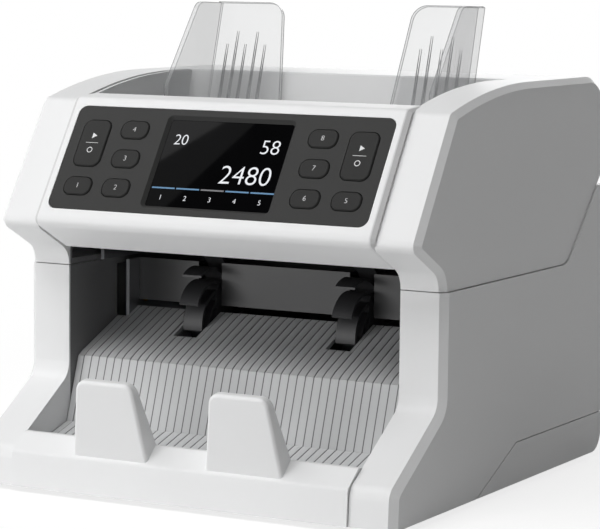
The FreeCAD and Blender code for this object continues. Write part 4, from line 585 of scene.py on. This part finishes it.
def geometry_tree(name, **sizes):
    """A geometry tree with named inputs for its sizes and its material."""
    inputs = {"Geometry": "Geometry", **sizes, "Material": "Material"}
    return new_tree("GeometryNodeTree", name, inputs, {"Geometry": "Geometry"})


def levelled(nodes, links, curve):
    """A curve along which a swept section stays upright."""
    level = nodes.new("GeometryNodeSetCurveNormal")
    level.mode = "Z_UP"
    links.new(curve, level.inputs["Curve"])
    return level.outputs["Curve"]


def flat_section(nodes, links, width, height):
    """A rectangle to sweep along a curve."""
    section = nodes.new("GeometryNodeCurvePrimitiveQuadrilateral")
    links.new(width, section.inputs["Width"])
    links.new(height, section.inputs["Height"])
    return section.outputs["Curve"]


def finish_sweep(nodes, links, given, result, lines, section, points=None):
    """Sweeps a section along lines, copies it to points where there are any, and gives it its material."""
    swept = set_inputs(nodes.new("GeometryNodeCurveToMesh"), Fill_Caps=True)
    links.new(lines, swept.inputs["Curve"])
    links.new(section, swept.inputs["Profile Curve"])
    shape = swept.outputs["Mesh"]
    if points is not None:
        copies = nodes.new("GeometryNodeInstanceOnPoints")
        links.new(points, copies.inputs["Points"])
        links.new(shape, copies.inputs["Instance"])
        shape = copies.outputs["Instances"]
    real = nodes.new("GeometryNodeRealizeInstances")
    links.new(shape, real.inputs["Geometry"])
    finish = nodes.new("GeometryNodeSetMaterial")
    links.new(real.outputs["Geometry"], finish.inputs["Geometry"])
    links.new(given["Material"], finish.inputs["Material"])
    links.new(finish.outputs["Geometry"], result["Geometry"])


def run_tree(tree, values, base=None):
    """Plain mesh that a geometry tree makes from a base mesh and values of its inputs."""
    base = base or bpy.data.meshes.new("tree_base")
    holder = add_object("tree_base", base)
    modifier = holder.modifiers.new("tree", "NODES")
    modifier.node_group = tree
    for item in tree.interface.items_tree:
        if item.in_out == "INPUT" and item.name in values:
            modifier[item.identifier] = values[item.name]
    shape = take_shape(holder)
    bpy.data.meshes.remove(base)
    bmesh.ops.recalc_face_normals(shape, faces=shape.faces)
    return bmesh_to_mesh(shape)


# Front panel: its axes come from a key's travel, its places from the parts' own meshes

KEYS = [name for name in frame["nodes"] if name.endswith("_key")]


def travel_of(child):
    """The joint that a body moves by."""
    return next(joint for joint in frame["joints"] if joint["child"] == child)


def panel_axes():
    """The panel's ways to the right, up and out of its face."""
    normal = -Vector(travel_of(KEYS[0])["axis"]).normalized()
    right = Vector((1, 0, 0))
    return right, normal.cross(right), normal


RIGHT, UP, NORMAL = panel_axes()


def panel_span(node):
    """Lowest and highest values of a part along the panel's three axes."""
    corners = [vertex.co for vertex in frame["nodes"][node].data.vertices]
    spans = []
    for axis in (RIGHT, UP, NORMAL):
        reach = [corner.dot(axis) for corner in corners]
        spans.append((min(reach), max(reach)))
    return spans


def surface_matrix(place, right, normal):
    """Turns a flat drawing in the XY plane to lie on a surface."""
    turn = Matrix((right, normal.cross(right), normal)).transposed().to_4x4()
    return Matrix.Translation(place) @ turn


def panel_matrix(across, up, out):
    """Turns a flat drawing to lie on the panel."""
    return surface_matrix(RIGHT * across + UP * up + NORMAL * out, RIGHT, NORMAL)


# Signs of the keys: size of a figure, gap between the signs of a tall key, and half its start mark's height
KEY_FIGURE = 4.3 * MM
SIGN_GAP = 4.4 * MM
START_HALF = 1.7 * MM
# Corners of the start mark in parts of that, half the line's size, and the ring's radius and width
START_CORNERS = ((-0.6, -1.0), (1.1, 0.0), (-0.6, 1.0))
LINE_HALF = (3.9 * MM, 0.13 * MM)
RING_LINE = (1.5 * MM, 0.42 * MM)


def make_key_signs():
    """Plain signs: a figure on each small key, a start mark over a line and a ring on each tall one."""
    number = 0
    for key in KEYS:
        (left, right), (low, high), (_, top) = panel_span(key)
        across, up, out = (left + right) / 2, (low + high) / 2, top + PRINT_HEIGHT
        if key.endswith("tall_key"):
            mark = [(x * START_HALF, y * START_HALF) for x, y in START_CORNERS]
            parts = [
                (flat_mesh([mark]), panel_matrix(across, up + SIGN_GAP, out)),
                (flat_mesh([rectangle(*LINE_HALF)]), panel_matrix(across, up, out)),
                (flat_mesh(ring_outline(*RING_LINE)), panel_matrix(across, up - SIGN_GAP, out)),
            ]
        else:
            number += 1
            parts = [(text_mesh(str(number), KEY_FIGURE), panel_matrix(across, up, out))]
        add_piece(key + "_sign", parts, LEGEND, key)


# How far the glass reaches behind the window's frame, at a side and at the top or bottom
WINDOW_LAP = (2.7 * MM, 1.7 * MM)
# Counts on the screen: size, the end they are set from, and its place in parts of the window's size
COUNTS = (
    ("20", 9.0 * MM, "LEFT", 0.065, 0.77),
    ("58", 12.2 * MM, "RIGHT", 0.94, 0.725),
    ("2480", 15.8 * MM, "RIGHT", 0.94, 0.39),
)
# Row of mode bars in parts of the window's size, and half a bar's own height
BAR_START, BAR_PITCH, BAR_WIDTH = 0.012, 0.2, 0.186
BAR_UP = 0.216
BAR_HALF = 0.42 * MM
BLUE_BARS, GREY_BARS = (0, 1, 3, 4), (2,)
# Figures below the bars: size and place up the window
BAR_FIGURE = 4.2 * MM
BAR_FIGURE_UP = 0.106


def make_readout():
    """Counts in plain figures over a row of five mode bars."""
    (left, right), (low, high), (_, face) = panel_span("screen_glass")
    left, low = left + WINDOW_LAP[0], low + WINDOW_LAP[1]
    wide, tall = right - WINDOW_LAP[0] - left, high - WINDOW_LAP[1] - low
    out = face + PRINT_HEIGHT

    def spot(across, up):
        """A place as a part of the window's width and height, from its lower left corner."""
        return panel_matrix(left + across * wide, low + up * tall, out)

    bar_count = len(BLUE_BARS + GREY_BARS)
    middles = [BAR_START + number * BAR_PITCH + BAR_WIDTH / 2 for number in range(bar_count)]
    parts = [(text_mesh(words, size, align), spot(x, y)) for words, size, align, x, y in COUNTS]
    for number, x in enumerate(middles, 1):
        parts.append((text_mesh(str(number), BAR_FIGURE), spot(x, BAR_FIGURE_UP)))
    add_piece("screen_figures", parts, GLOW_WHITE, "upper_unit")
    bar = rectangle(BAR_WIDTH / 2 * wide, BAR_HALF)
    for name, material, numbers in (("blue", GLOW_BLUE, BLUE_BARS), ("grey", GLOW_GREY, GREY_BARS)):
        placed = [(flat_mesh([bar]), spot(middles[number], BAR_UP)) for number in numbers]
        add_piece("screen_%s_bars" % name, placed, material, "upper_unit")


# Ribs of the pocket plate: rise, eased corners, step along a rib, gap at its ends, and its steepest slope
RIB_RISE = 0.3 * MM
RIB_EASE = 0.12 * MM
EASE_STEPS = 2
RIB_STEP = 1.5 * MM
RIB_MARGIN = 2.0 * MM
STEEPEST = 2.5
DOWN = Vector((0, 0, -1))


def plate_line(surface, x, front, rear, top):
    """Runs of points on the plate below a line from front to rear, broken where no plate is under a rib."""
    half = GROOVE_PITCH / 2 - GROOVE_HALF
    runs = [[]]
    for number in range(int((rear - front) / RIB_STEP) + 1):
        y = front + number * RIB_STEP
        starts = [Vector((x + side * half, y, top)) for side in (-1, 0, 1)]
        hits = [surface.ray_cast(start, DOWN)[0] for start in starts]
        heights = [hit.z for hit in hits if hit]
        whole = len(heights) == len(starts) and max(heights) - min(heights) < RIB_RISE
        if whole and runs[-1] and abs(hits[1].z - runs[-1][-1].z) > STEEPEST * RIB_STEP:
            runs.append([])
        if whole:
            runs[-1].append(hits[1])
        elif runs[-1]:
            runs.append([])
    return [run for run in runs if len(run) > 2]


def rib_lines():
    """A mesh of bare lines up the plate, one for each rib."""
    mesh = frame["nodes"]["pocket_plate"].data
    corners = [vertex.co for vertex in mesh.vertices]
    surface = BVHTree.FromPolygons(corners, [tuple(face.vertices) for face in mesh.polygons])
    low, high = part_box("pocket_plate")
    front, rear, top = low[1] + RIB_MARGIN, high[1] - RIB_MARGIN, high[2] + RIB_STEP
    shape = bmesh.new()
    reach = int(high[0] / GROOVE_PITCH)
    for number in range(-reach, reach + 1):
        for run in plate_line(surface, number * GROOVE_PITCH, front, rear, top):
            points = [shape.verts.new(point) for point in run]
            for one, other in zip(points, points[1:]):
                shape.edges.new((one, other))
    return bmesh_to_mesh(shape)


def make_rib_tree():
    """Geometry tree for ribs: a flat section with eased corners, swept along lines."""
    tree, nodes, links, given, result = geometry_tree(
        "plate_ribs", Width="Float", Height="Float", Ease="Float")
    lines = nodes.new("GeometryNodeMeshToCurve")
    links.new(given["Geometry"], lines.inputs["Mesh"])
    corners = nodes.new("GeometryNodeFilletCurve")
    corners.mode = "POLY"
    set_inputs(corners, Count=EASE_STEPS)
    links.new(flat_section(nodes, links, given["Width"], given["Height"]), corners.inputs["Curve"])
    links.new(given["Ease"], corners.inputs["Radius"])
    level = levelled(nodes, links, lines.outputs["Curve"])
    finish_sweep(nodes, links, given, result, level, corners.outputs["Curve"])
    return tree


def make_plate_ribs():
    """Low ribs over the pocket plate, half sunk in it, with narrow grooves between."""
    material = OWN_MATERIALS["pocket_plate"]
    width = GROOVE_PITCH - 2 * GROOVE_HALF
    values = {"Width": width, "Height": 2 * RIB_RISE, "Ease": RIB_EASE, "Material": material}
    ribs = run_tree(make_rib_tree(), values, rib_lines())
    add_piece("plate_ribs", [(ribs, Matrix())], material, "lower_unit")


# Seams beside the front panel: rounding of its sides, how near that a point lies, and digits kept of a point
PANEL_ROUND = 2.0 * MM
ROUND_NEAR = 0.03 * MM
POINT_DIGITS = 6
# Section of a grey strip of painted seam shade, from the rounding to the cheek and back: millimetres past the side
# and below the face
SEAM_SHADE_SECTION = ((-0.825, 0.36), (1.3, 1.6), (1.3, 2.97), (0.04, 2.97), (-0.137, 1.2), (-0.45, 0.7))


def panel_outline():
    """Edge of the front panel, and points down its outline with the way inwards at each."""
    corners = [vertex.co for vertex in frame["nodes"]["display_housing"].data.vertices]
    edge = max(corner.x for corner in corners)
    near = [corner for corner in corners if abs(corner.x - edge + PANEL_ROUND) < ROUND_NEAR]
    points = {(round(corner.y, POINT_DIGITS), round(corner.z, POINT_DIGITS)) for corner in near}
    line = [Vector(point) for point in sorted(points, key=lambda point: -point[1])]
    path = []
    for number, point in enumerate(line):
        way = line[min(number + 1, len(line) - 1)] - line[max(number - 1, 0)]
        path.append((point, Vector((-way.y, way.x)).normalized()))
    return edge, path


def make_seam_gaskets():
    """Grey strips down the gaps between the front panel and the cheeks, whose grey is painted seam shade."""
    edge, path = panel_outline()
    shape = bmesh.new()
    for side in (-1, 1):
        loops = []
        for point, inwards in path:
            loop = []
            for past, depth in SEAM_SHADE_SECTION:
                place = point + inwards * (depth * MM)
                loop.append(shape.verts.new((side * (edge + past * MM), *place)))
            loops.append(loop)
        add_bar(shape, loops)
    add_shape("seam_painted_shade", shape, SEAM_SHADE, "upper_unit")


# Room that the record states for notes and plugs
ROOM = {
    entry["name"]: [Vector(corner) for corner in entry["box_m"]]
    for entry in frame["record"]["physics"]["openings"]
}

# Edges of the clear note guides, greyed with beads of painted light and shade: depth and radius of the bead, its
# sides, and the least angle of an edge
EDGE_INSET = 0.26 * MM
EDGE_RADIUS = 0.17 * MM
BEAD_SIDES = 6
EDGE_ANGLE = math.radians(40)
# How near points of a guide's mesh are one
GUIDE_SAME_POINT = 0.002 * MM


def make_edge_tree():
    """Geometry tree for a fine bead just inside the sharp edges of a sheet."""
    tree, nodes, links, given, result = geometry_tree(
        "guide_edges", Inset="Float", Radius="Float", Angle="Float")
    normal = nodes.new("GeometryNodeInputNormal").outputs["Normal"]
    depth = math_node(nodes, links, "MULTIPLY", given["Inset"], -1.0)
    sunk = nodes.new("GeometryNodeSetPosition")
    links.new(given["Geometry"], sunk.inputs["Geometry"])
    links.new(scaled(nodes, links, normal, depth), sunk.inputs["Offset"])
    bend = nodes.new("GeometryNodeInputMeshEdgeAngle").outputs["Unsigned Angle"]
    lines = nodes.new("GeometryNodeMeshToCurve")
    links.new(sunk.outputs["Geometry"], lines.inputs["Mesh"])
    links.new(math_node(nodes, links, "GREATER_THAN", bend, given["Angle"]), lines.inputs["Selection"])
    section = set_inputs(nodes.new("GeometryNodeCurvePrimitiveCircle"), Resolution=BEAD_SIDES)
    links.new(given["Radius"], section.inputs["Radius"])
    finish_sweep(nodes, links, given, result, lines.outputs["Curve"], section.outputs["Curve"])
    return tree


def guide_sheet(node):
    """A copy of a guide's mesh above the hopper's floor, joined up."""
    shape = bmesh.new()
    shape.from_mesh(frame["nodes"][node].data)
    bmesh.ops.remove_doubles(shape, verts=shape.verts, dist=GUIDE_SAME_POINT)
    floor = Vector((0, 0, ROOM["hopper_space"][0].z))
    everything = [*shape.verts, *shape.edges, *shape.faces]
    bmesh.ops.bisect_plane(shape, geom=everything, plane_co=floor, plane_no=(0, 0, 1), clear_inner=True)
    return bmesh_to_mesh(shape)


def make_guide_edges():
    """Grey beads along the edges of the clear guides: painted light and shade, in place of the light that the
    sheet carries along inside it.
    """
    tree = make_edge_tree()
    values = {"Inset": EDGE_INSET, "Radius": EDGE_RADIUS, "Angle": EDGE_ANGLE, "Material": EDGE_PAINTED_LIGHT}
    for guide in ("left_guide", "right_guide"):
        beads = run_tree(tree, values, guide_sheet(guide))
        add_piece(guide + "_edges", [(beads, Matrix())], EDGE_PAINTED_LIGHT, guide)


# Plug sockets in the rear wall

# The room stated for a plug is narrower than the socket's mouth and reaches past the wall's face
MOUTH_SLACK = 0.2 * MM
ROOM_PAST_WALL = 1.0 * MM
# Contacts and their pitch in each socket
SOCKET_CONTACTS = {
    "data_socket": (8, 1.25 * MM),
    "update_socket": (5, 1.7 * MM),
    "printer_socket": (5, 1.7 * MM),
}
# Section of a socket's metal shell in millimetres past the mouth and out of the wall, and its corner radius
SHELL_SECTION = (
    (0.9, 0.02), (0.9, 0.14), (0.75, 0.2), (0.1, 0.2),
    (-0.17, 0.0), (-0.17, -8.6), (-0.02, -8.6), (-0.02, 0.02),
)
SHELL_ROUND = 0.5
# Back of a socket and the ledge along its upper side, in millimetres: margin, rear and front out of the wall
BACK_PLACE = (0.2, -8.95, -8.2)
LEDGE_PLACE = (0.3, -8.6, -2.4)
LEDGE_TALL = 1.9 * MM
# Eased front edge of both in millimetres, their corner radius and its steps
INSERT_EASE = 0.2
INSERT_ROUND = 0.3 * MM
FEW_STEPS = 2
# Sprung contacts: sizes of one, steps along its bow, and its place behind the wall's face and over the floor
CONTACT_SIZES = {"Width": 0.5 * MM, "Thickness": 0.12 * MM, "Length": 6.4 * MM, "Bow": 1.6 * MM}
BOW_STEPS = 8
CONTACT_BEHIND = 1.4 * MM
CONTACT_OVER = 0.3 * MM


def socket_mouth(name):
    """Middle of a plug socket's mouth, half its width and height, and the depth of the wall's face."""
    low, high = ROOM[name]
    middle, half = (low + high) / 2, (high - low) / 2
    return middle, half.x + MOUTH_SLACK, half.z + MOUTH_SLACK, high.y - ROOM_PAST_WALL


def make_socket_shells():
    """Bright metal shells that line the plug sockets and lap on to the rear wall."""
    shape = bmesh.new()
    for name in SOCKET_CONTACTS:
        middle, half_wide, half_tall, face = socket_mouth(name)
        loops = []
        for past, out in SHELL_SECTION:
            radius = (SHELL_ROUND + max(past, 0)) * MM
            wide, tall = half_wide + past * MM, half_tall + past * MM
            loops.append(rounded_loop(shape, middle, wide, tall, radius, face + out * MM))
        bridge(shape, loops + loops[:1])
    add_shape("socket_shells", shape, PLATED, "lower_unit")


def make_socket_inserts():
    """Dark moulded backs of the plug sockets, each with a ledge along its upper side."""
    shape = bmesh.new()
    for name in SOCKET_CONTACTS:
        middle, half_wide, half_tall, face = socket_mouth(name)
        inserts = ((-half_tall, BACK_PLACE), (half_tall - LEDGE_TALL, LEDGE_PLACE))
        for bottom, (margin, rear, front) in inserts:
            place = middle + Vector((0, 0, (bottom + half_tall) / 2))
            section = ((margin, rear), (margin, front - INSERT_EASE), (margin + INSERT_EASE, front))
            loops = []
            for inset, out in section:
                wide, tall = half_wide - inset * MM, (half_tall - bottom) / 2 - inset * MM
                depth = face + out * MM
                loops.append(rounded_loop(shape, place, wide, tall, INSERT_ROUND, depth, FEW_STEPS))
            add_bar(shape, loops)
    add_shape("socket_inserts", shape, MATERIALS["guide_black"], "lower_unit")


def make_contact_tree():
    """Geometry tree for a row of sprung contacts: a bowed strip, set out at a pitch."""
    sizes = dict.fromkeys(("Pitch", "Width", "Thickness", "Length", "Bow"), "Float")
    tree, nodes, links, given, result = geometry_tree("contact_row", Count="Int", **sizes)

    def vector(**axes):
        """A vector with the axes that are given."""
        node = nodes.new("ShaderNodeCombineXYZ")
        for axis, value in axes.items():
            links.new(value, node.inputs[axis])
        return node.outputs["Vector"]

    steps = math_node(nodes, links, "SUBTRACT", given["Count"], 1.0)
    length = math_node(nodes, links, "MULTIPLY", steps, given["Pitch"])
    row = nodes.new("GeometryNodeMeshLine")
    links.new(given["Count"], row.inputs["Count"])
    links.new(vector(X=math_node(nodes, links, "MULTIPLY", length, -0.5)), row.inputs["Start Location"])
    links.new(vector(X=given["Pitch"]), row.inputs["Offset"])
    back = math_node(nodes, links, "MULTIPLY", given["Length"], -1.0)
    half_back = math_node(nodes, links, "MULTIPLY", back, 0.5)
    bow = set_inputs(nodes.new("GeometryNodeCurveQuadraticBezier"), Resolution=BOW_STEPS, Start=(0, 0, 0))
    links.new(vector(Y=half_back, Z=given["Bow"]), bow.inputs["Middle"])
    links.new(vector(Y=back), bow.inputs["End"])
    level = levelled(nodes, links, bow.outputs["Curve"])
    section = flat_section(nodes, links, given["Width"], given["Thickness"])
    finish_sweep(nodes, links, given, result, level, section, row.outputs["Mesh"])
    return tree


def make_socket_contacts():
    """Sprung contacts on the floor of each plug socket."""
    tree = make_contact_tree()
    parts = []
    for name, (count, pitch) in SOCKET_CONTACTS.items():
        middle, _, half_tall, face = socket_mouth(name)
        values = {"Count": count, "Pitch": pitch, **CONTACT_SIZES, "Material": GILDED}
        place = Vector((middle.x, face - CONTACT_BEHIND, middle.z - half_tall + CONTACT_OVER))
        parts.append((run_tree(tree, values), Matrix.Translation(place)))
    add_piece("socket_contacts", parts, GILDED, "lower_unit")


# Mains pins, in millimetres from the middle of the inlet's room, and half their width and height
PIN_PLACES = ((-7, -2), (7, -2), (0, 3))
PIN_HALF = (1.0, 2.0)
# Plating of a pin in millimetres past its sides and from its tip, its corner radius, and the gap at the tip
PIN_SECTION = ((0.06, -14.9), (0.06, 0.02), (0.0, 0.08))
PIN_ROUND = 0.1 * MM
TIP_GAP = 0.1 * MM


def make_pin_plating():
    """Bright plating over the three mains pins."""
    low, high = ROOM["inlet_mouth"]
    middle, tip = (low + high) / 2, low.y - TIP_GAP
    shape = bmesh.new()
    for across, up in PIN_PLACES:
        place = middle + Vector((across, 0, up)) * MM
        loops = []
        for past, out in PIN_SECTION:
            wide, tall = ((half + past) * MM for half in PIN_HALF)
            loops.append(rounded_loop(shape, place, wide, tall, PIN_ROUND, tip + out * MM, FEW_STEPS))
        add_bar(shape, loops)
    add_shape("mains_pin_plating", shape, PLATED, "lower_unit")


# Middles of the rocker's two faces, outwards and up from its pivot in millimetres, and which way they look
ROCKER_UPPER = ((4.4, 4.1), (0.960, -0.281))
ROCKER_LOWER = ((3.8, -4.3), (0.990, 0.138))
# Half the width and height of the on mark, and the radius and width of the off mark
ON_HALF = (0.28 * MM, 1.7 * MM)
OFF_RING = (1.6 * MM, 0.5 * MM)


def make_rocker_marks():
    """On and off marks on the rocker."""
    pivot, right = Vector(travel_of("power_rocker")["pos_m"]), Vector((-1, 0, 0))
    on_mark, off_mark = flat_mesh([rectangle(*ON_HALF)]), flat_mesh(ring_outline(*OFF_RING))
    parts = []
    for mark, (place, way) in ((on_mark, ROCKER_UPPER), (off_mark, ROCKER_LOWER)):
        normal = Vector((0, *way)).normalized()
        spot = pivot + Vector((0, *place)) * MM + normal * PRINT_HEIGHT
        parts.append((mark, surface_matrix(spot, right, normal)))
    add_piece("rocker_marks", parts, LEGEND, "power_rocker")


# Studio


def new_matt(name, shade):
    """A grey material without gloss."""
    material, tree, shader = new_material(name)
    set_inputs(shader, Base_Color=(shade, shade, shade, 1), Roughness=0.9, Specular_IOR_Level=0.0)
    return material, tree, shader


def add_stage(name, mesh, material):
    """A floor or card of the studio, which isn't part of the machine."""
    mesh.materials.append(material)
    thing = add_object(name, mesh)
    return thing


def show_instead(tree, lighting, shown, surface):
    """Lights the machine with one shader, and shows another to the camera, reflections and clear plastic."""
    nodes, links = tree.nodes, tree.links
    path = nodes.new("ShaderNodeLightPath").outputs
    seen = math_node(nodes, links, "ADD", path["Is Camera Ray"], path["Is Glossy Ray"])
    seen = math_node(nodes, links, "ADD", seen, path["Is Transmission Ray"])
    mix = nodes.new("ShaderNodeMixShader")
    links.new(math_node(nodes, links, "MINIMUM", seen, 1.0), mix.inputs["Fac"])
    links.new(lighting, mix.inputs[1])
    links.new(shown, mix.inputs[2])
    links.new(mix.outputs["Shader"], surface)


FLOOR_HALF = 6.0
FLOOR_SHADE = 0.8
# Distances from the floor's middle between which its shadow fades out, and its colour and glow at them
SHADOW_REACH = (0.22, 0.7)
SHADOW_COLOURS = (0.30, 0.0)
FLOOR_GLOW = (0.78, 1.0)


def make_floor():
    """Pale paper floor that shows white to the camera and keeps a soft shadow."""
    shape = bmesh.new()
    bmesh.ops.create_grid(shape, x_segments=1, y_segments=1, size=FLOOR_HALF)
    material, tree, shader = new_matt("studio_floor_paper", FLOOR_SHADE)
    nodes, links = tree.nodes, tree.links
    away = nodes.new("ShaderNodeVectorMath")
    away.operation = "LENGTH"
    links.new(object_place(nodes), away.inputs[0])
    far = eased(nodes, links, away.outputs["Value"], *SHADOW_REACH)
    shaded = nodes.new("ShaderNodeBsdfDiffuse")
    links.new(ranged(nodes, links, far, *SHADOW_COLOURS), shaded.inputs["Color"])
    glow = nodes.new("ShaderNodeEmission")
    links.new(ranged(nodes, links, far, *FLOOR_GLOW), glow.inputs["Strength"])
    both = nodes.new("ShaderNodeAddShader")
    links.new(shaded.outputs["BSDF"], both.inputs[0])
    links.new(glow.outputs["Emission"], both.inputs[1])
    surface = nodes["Material Output"].inputs["Surface"]
    show_instead(tree, shader.outputs["BSDF"], both.outputs["Shader"], surface)
    add_stage("studio_floor", bmesh_to_mesh(shape), material)


WHITE = (1, 1, 1, 1)
ROUND_LIGHT = 0.08


def make_world():
    """Faint light from all round, white where the camera, metal or clear plastic looks past the machine."""
    world = bpy.data.worlds.new("studio")
    bpy.context.scene.world = world
    world.use_nodes = True
    tree = world.node_tree
    faint = set_inputs(tree.nodes["Background"], Color=WHITE, Strength=ROUND_LIGHT)
    white = set_inputs(tree.nodes.new("ShaderNodeBackground"), Color=WHITE, Strength=1.0)
    surface = tree.nodes["World Output"].inputs["Surface"]
    show_instead(tree, faint.outputs["Background"], white.outputs["Background"], surface)


def way_from(azimuth, elevation):
    """Direction in degrees, round from the front towards the right and upwards."""
    turn, rise = math.radians(azimuth), math.radians(elevation)
    return Vector((math.sin(turn) * math.cos(rise), -math.cos(turn) * math.cos(rise), math.sin(rise)))


# Point that the soft boxes face, then each one's direction, distance, width and height, and power in watts
LAMP_TARGET = Vector((0, 0, 0.12))
LAMPS = {
    "key_soft_box": (-14, 58, 2.5, (1.5, 1.2), 33),
    "left_soft_box": (-70, 45, 2.5, (1.2, 1.2), 13),
    "low_soft_box": (-40, 4, 2.5, (1.2, 0.4), 8),
    "front_reflector": (-22, -3, 1.2, (1.0, 0.1), 2.7),
    "rear_soft_box": (-165, 18, 2.5, (1.2, 0.8), 10),
}


def make_lamps():
    """Soft boxes that face the machine."""
    for name, (azimuth, elevation, distance, size, power) in LAMPS.items():
        way = way_from(azimuth, elevation)
        light = bpy.data.lights.new(name, "AREA")
        light.shape = "RECTANGLE"
        light.size, light.size_y = size
        light.energy = power
        lamp = add_object(name, light)
        lamp.location = LAMP_TARGET + way * distance
        lamp.rotation_euler = (-way).to_track_quat("-Z", "Y").to_euler()


# Edge of the dark card that the screen mirrors, a point on its dark side, its reach, and its shade
CARD_EDGE = (Vector((-0.730, -0.696, 1.346)), Vector((-0.787, -0.739, 1.281)))
CARD_SIDE = Vector((-0.690, -0.772, 1.282))
CARD_REACH = 0.45
CARD_SHADE = 0.01


def make_card():
    """Dark card that only reflections show, so the screen glass is part light and part dark."""
    top, low = CARD_EDGE
    along = (low - top).normalized()
    across = CARD_SIDE - top
    across = (across - along * across.dot(along)).normalized()
    start, end = ((top + low) / 2 + along * reach for reach in (-CARD_REACH, CARD_REACH))
    corners = (start, end, end + across * CARD_REACH, start + across * CARD_REACH)
    shape = bmesh.new()
    shape.faces.new([shape.verts.new(corner) for corner in corners])
    card = add_stage("studio_card", bmesh_to_mesh(shape), new_matt("studio_card_black", CARD_SHADE)[0])
    card.visible_camera = False
    card.visible_diffuse = False
    card.visible_shadow = False
    card.visible_transmission = False


# Camera fitted to the photograph, in degrees, metres, pixels of the picture and millimetres of the sensor
CAMERA_TURN = 28.605
CAMERA_RISE = 6.524
CAMERA_ROLL = 0.614
CAMERA_PLACE = (0.6986, -1.2791, 0.2830)
FOCAL_PIXELS = 2627.0
PHOTO_WIDTH = 600
SENSOR_WIDTH = 36.0


def make_camera():
    """The view of the photograph."""
    turn, roll = math.radians(CAMERA_TURN), math.radians(CAMERA_ROLL)
    back = way_from(CAMERA_TURN, CAMERA_RISE)
    right = Vector((math.cos(turn), math.sin(turn), 0))
    up = back.cross(right)
    rolled_right = right * math.cos(roll) + up * math.sin(roll)
    rolled_up = up * math.cos(roll) - right * math.sin(roll)
    data = bpy.data.cameras.new("photo_camera")
    data.sensor_fit = "HORIZONTAL"
    data.sensor_width = SENSOR_WIDTH
    data.lens = FOCAL_PIXELS / PHOTO_WIDTH * SENSOR_WIDTH
    camera = add_object("photo_camera", data)
    axes = Matrix((rolled_right, rolled_up, back)).transposed().to_4x4()
    camera.matrix_world = Matrix.Translation(CAMERA_PLACE) @ axes
    bpy.context.scene.camera = camera


bpy.context.scene.view_settings.view_transform = "Standard"
finish_nodes()
make_key_signs()
make_readout()
make_plate_ribs()
make_seam_gaskets()
make_guide_edges()
make_socket_shells()
make_socket_inserts()
make_socket_contacts()
make_pin_plating()
make_rocker_marks()
make_floor()
make_world()
make_lamps()
make_card()
make_camera()
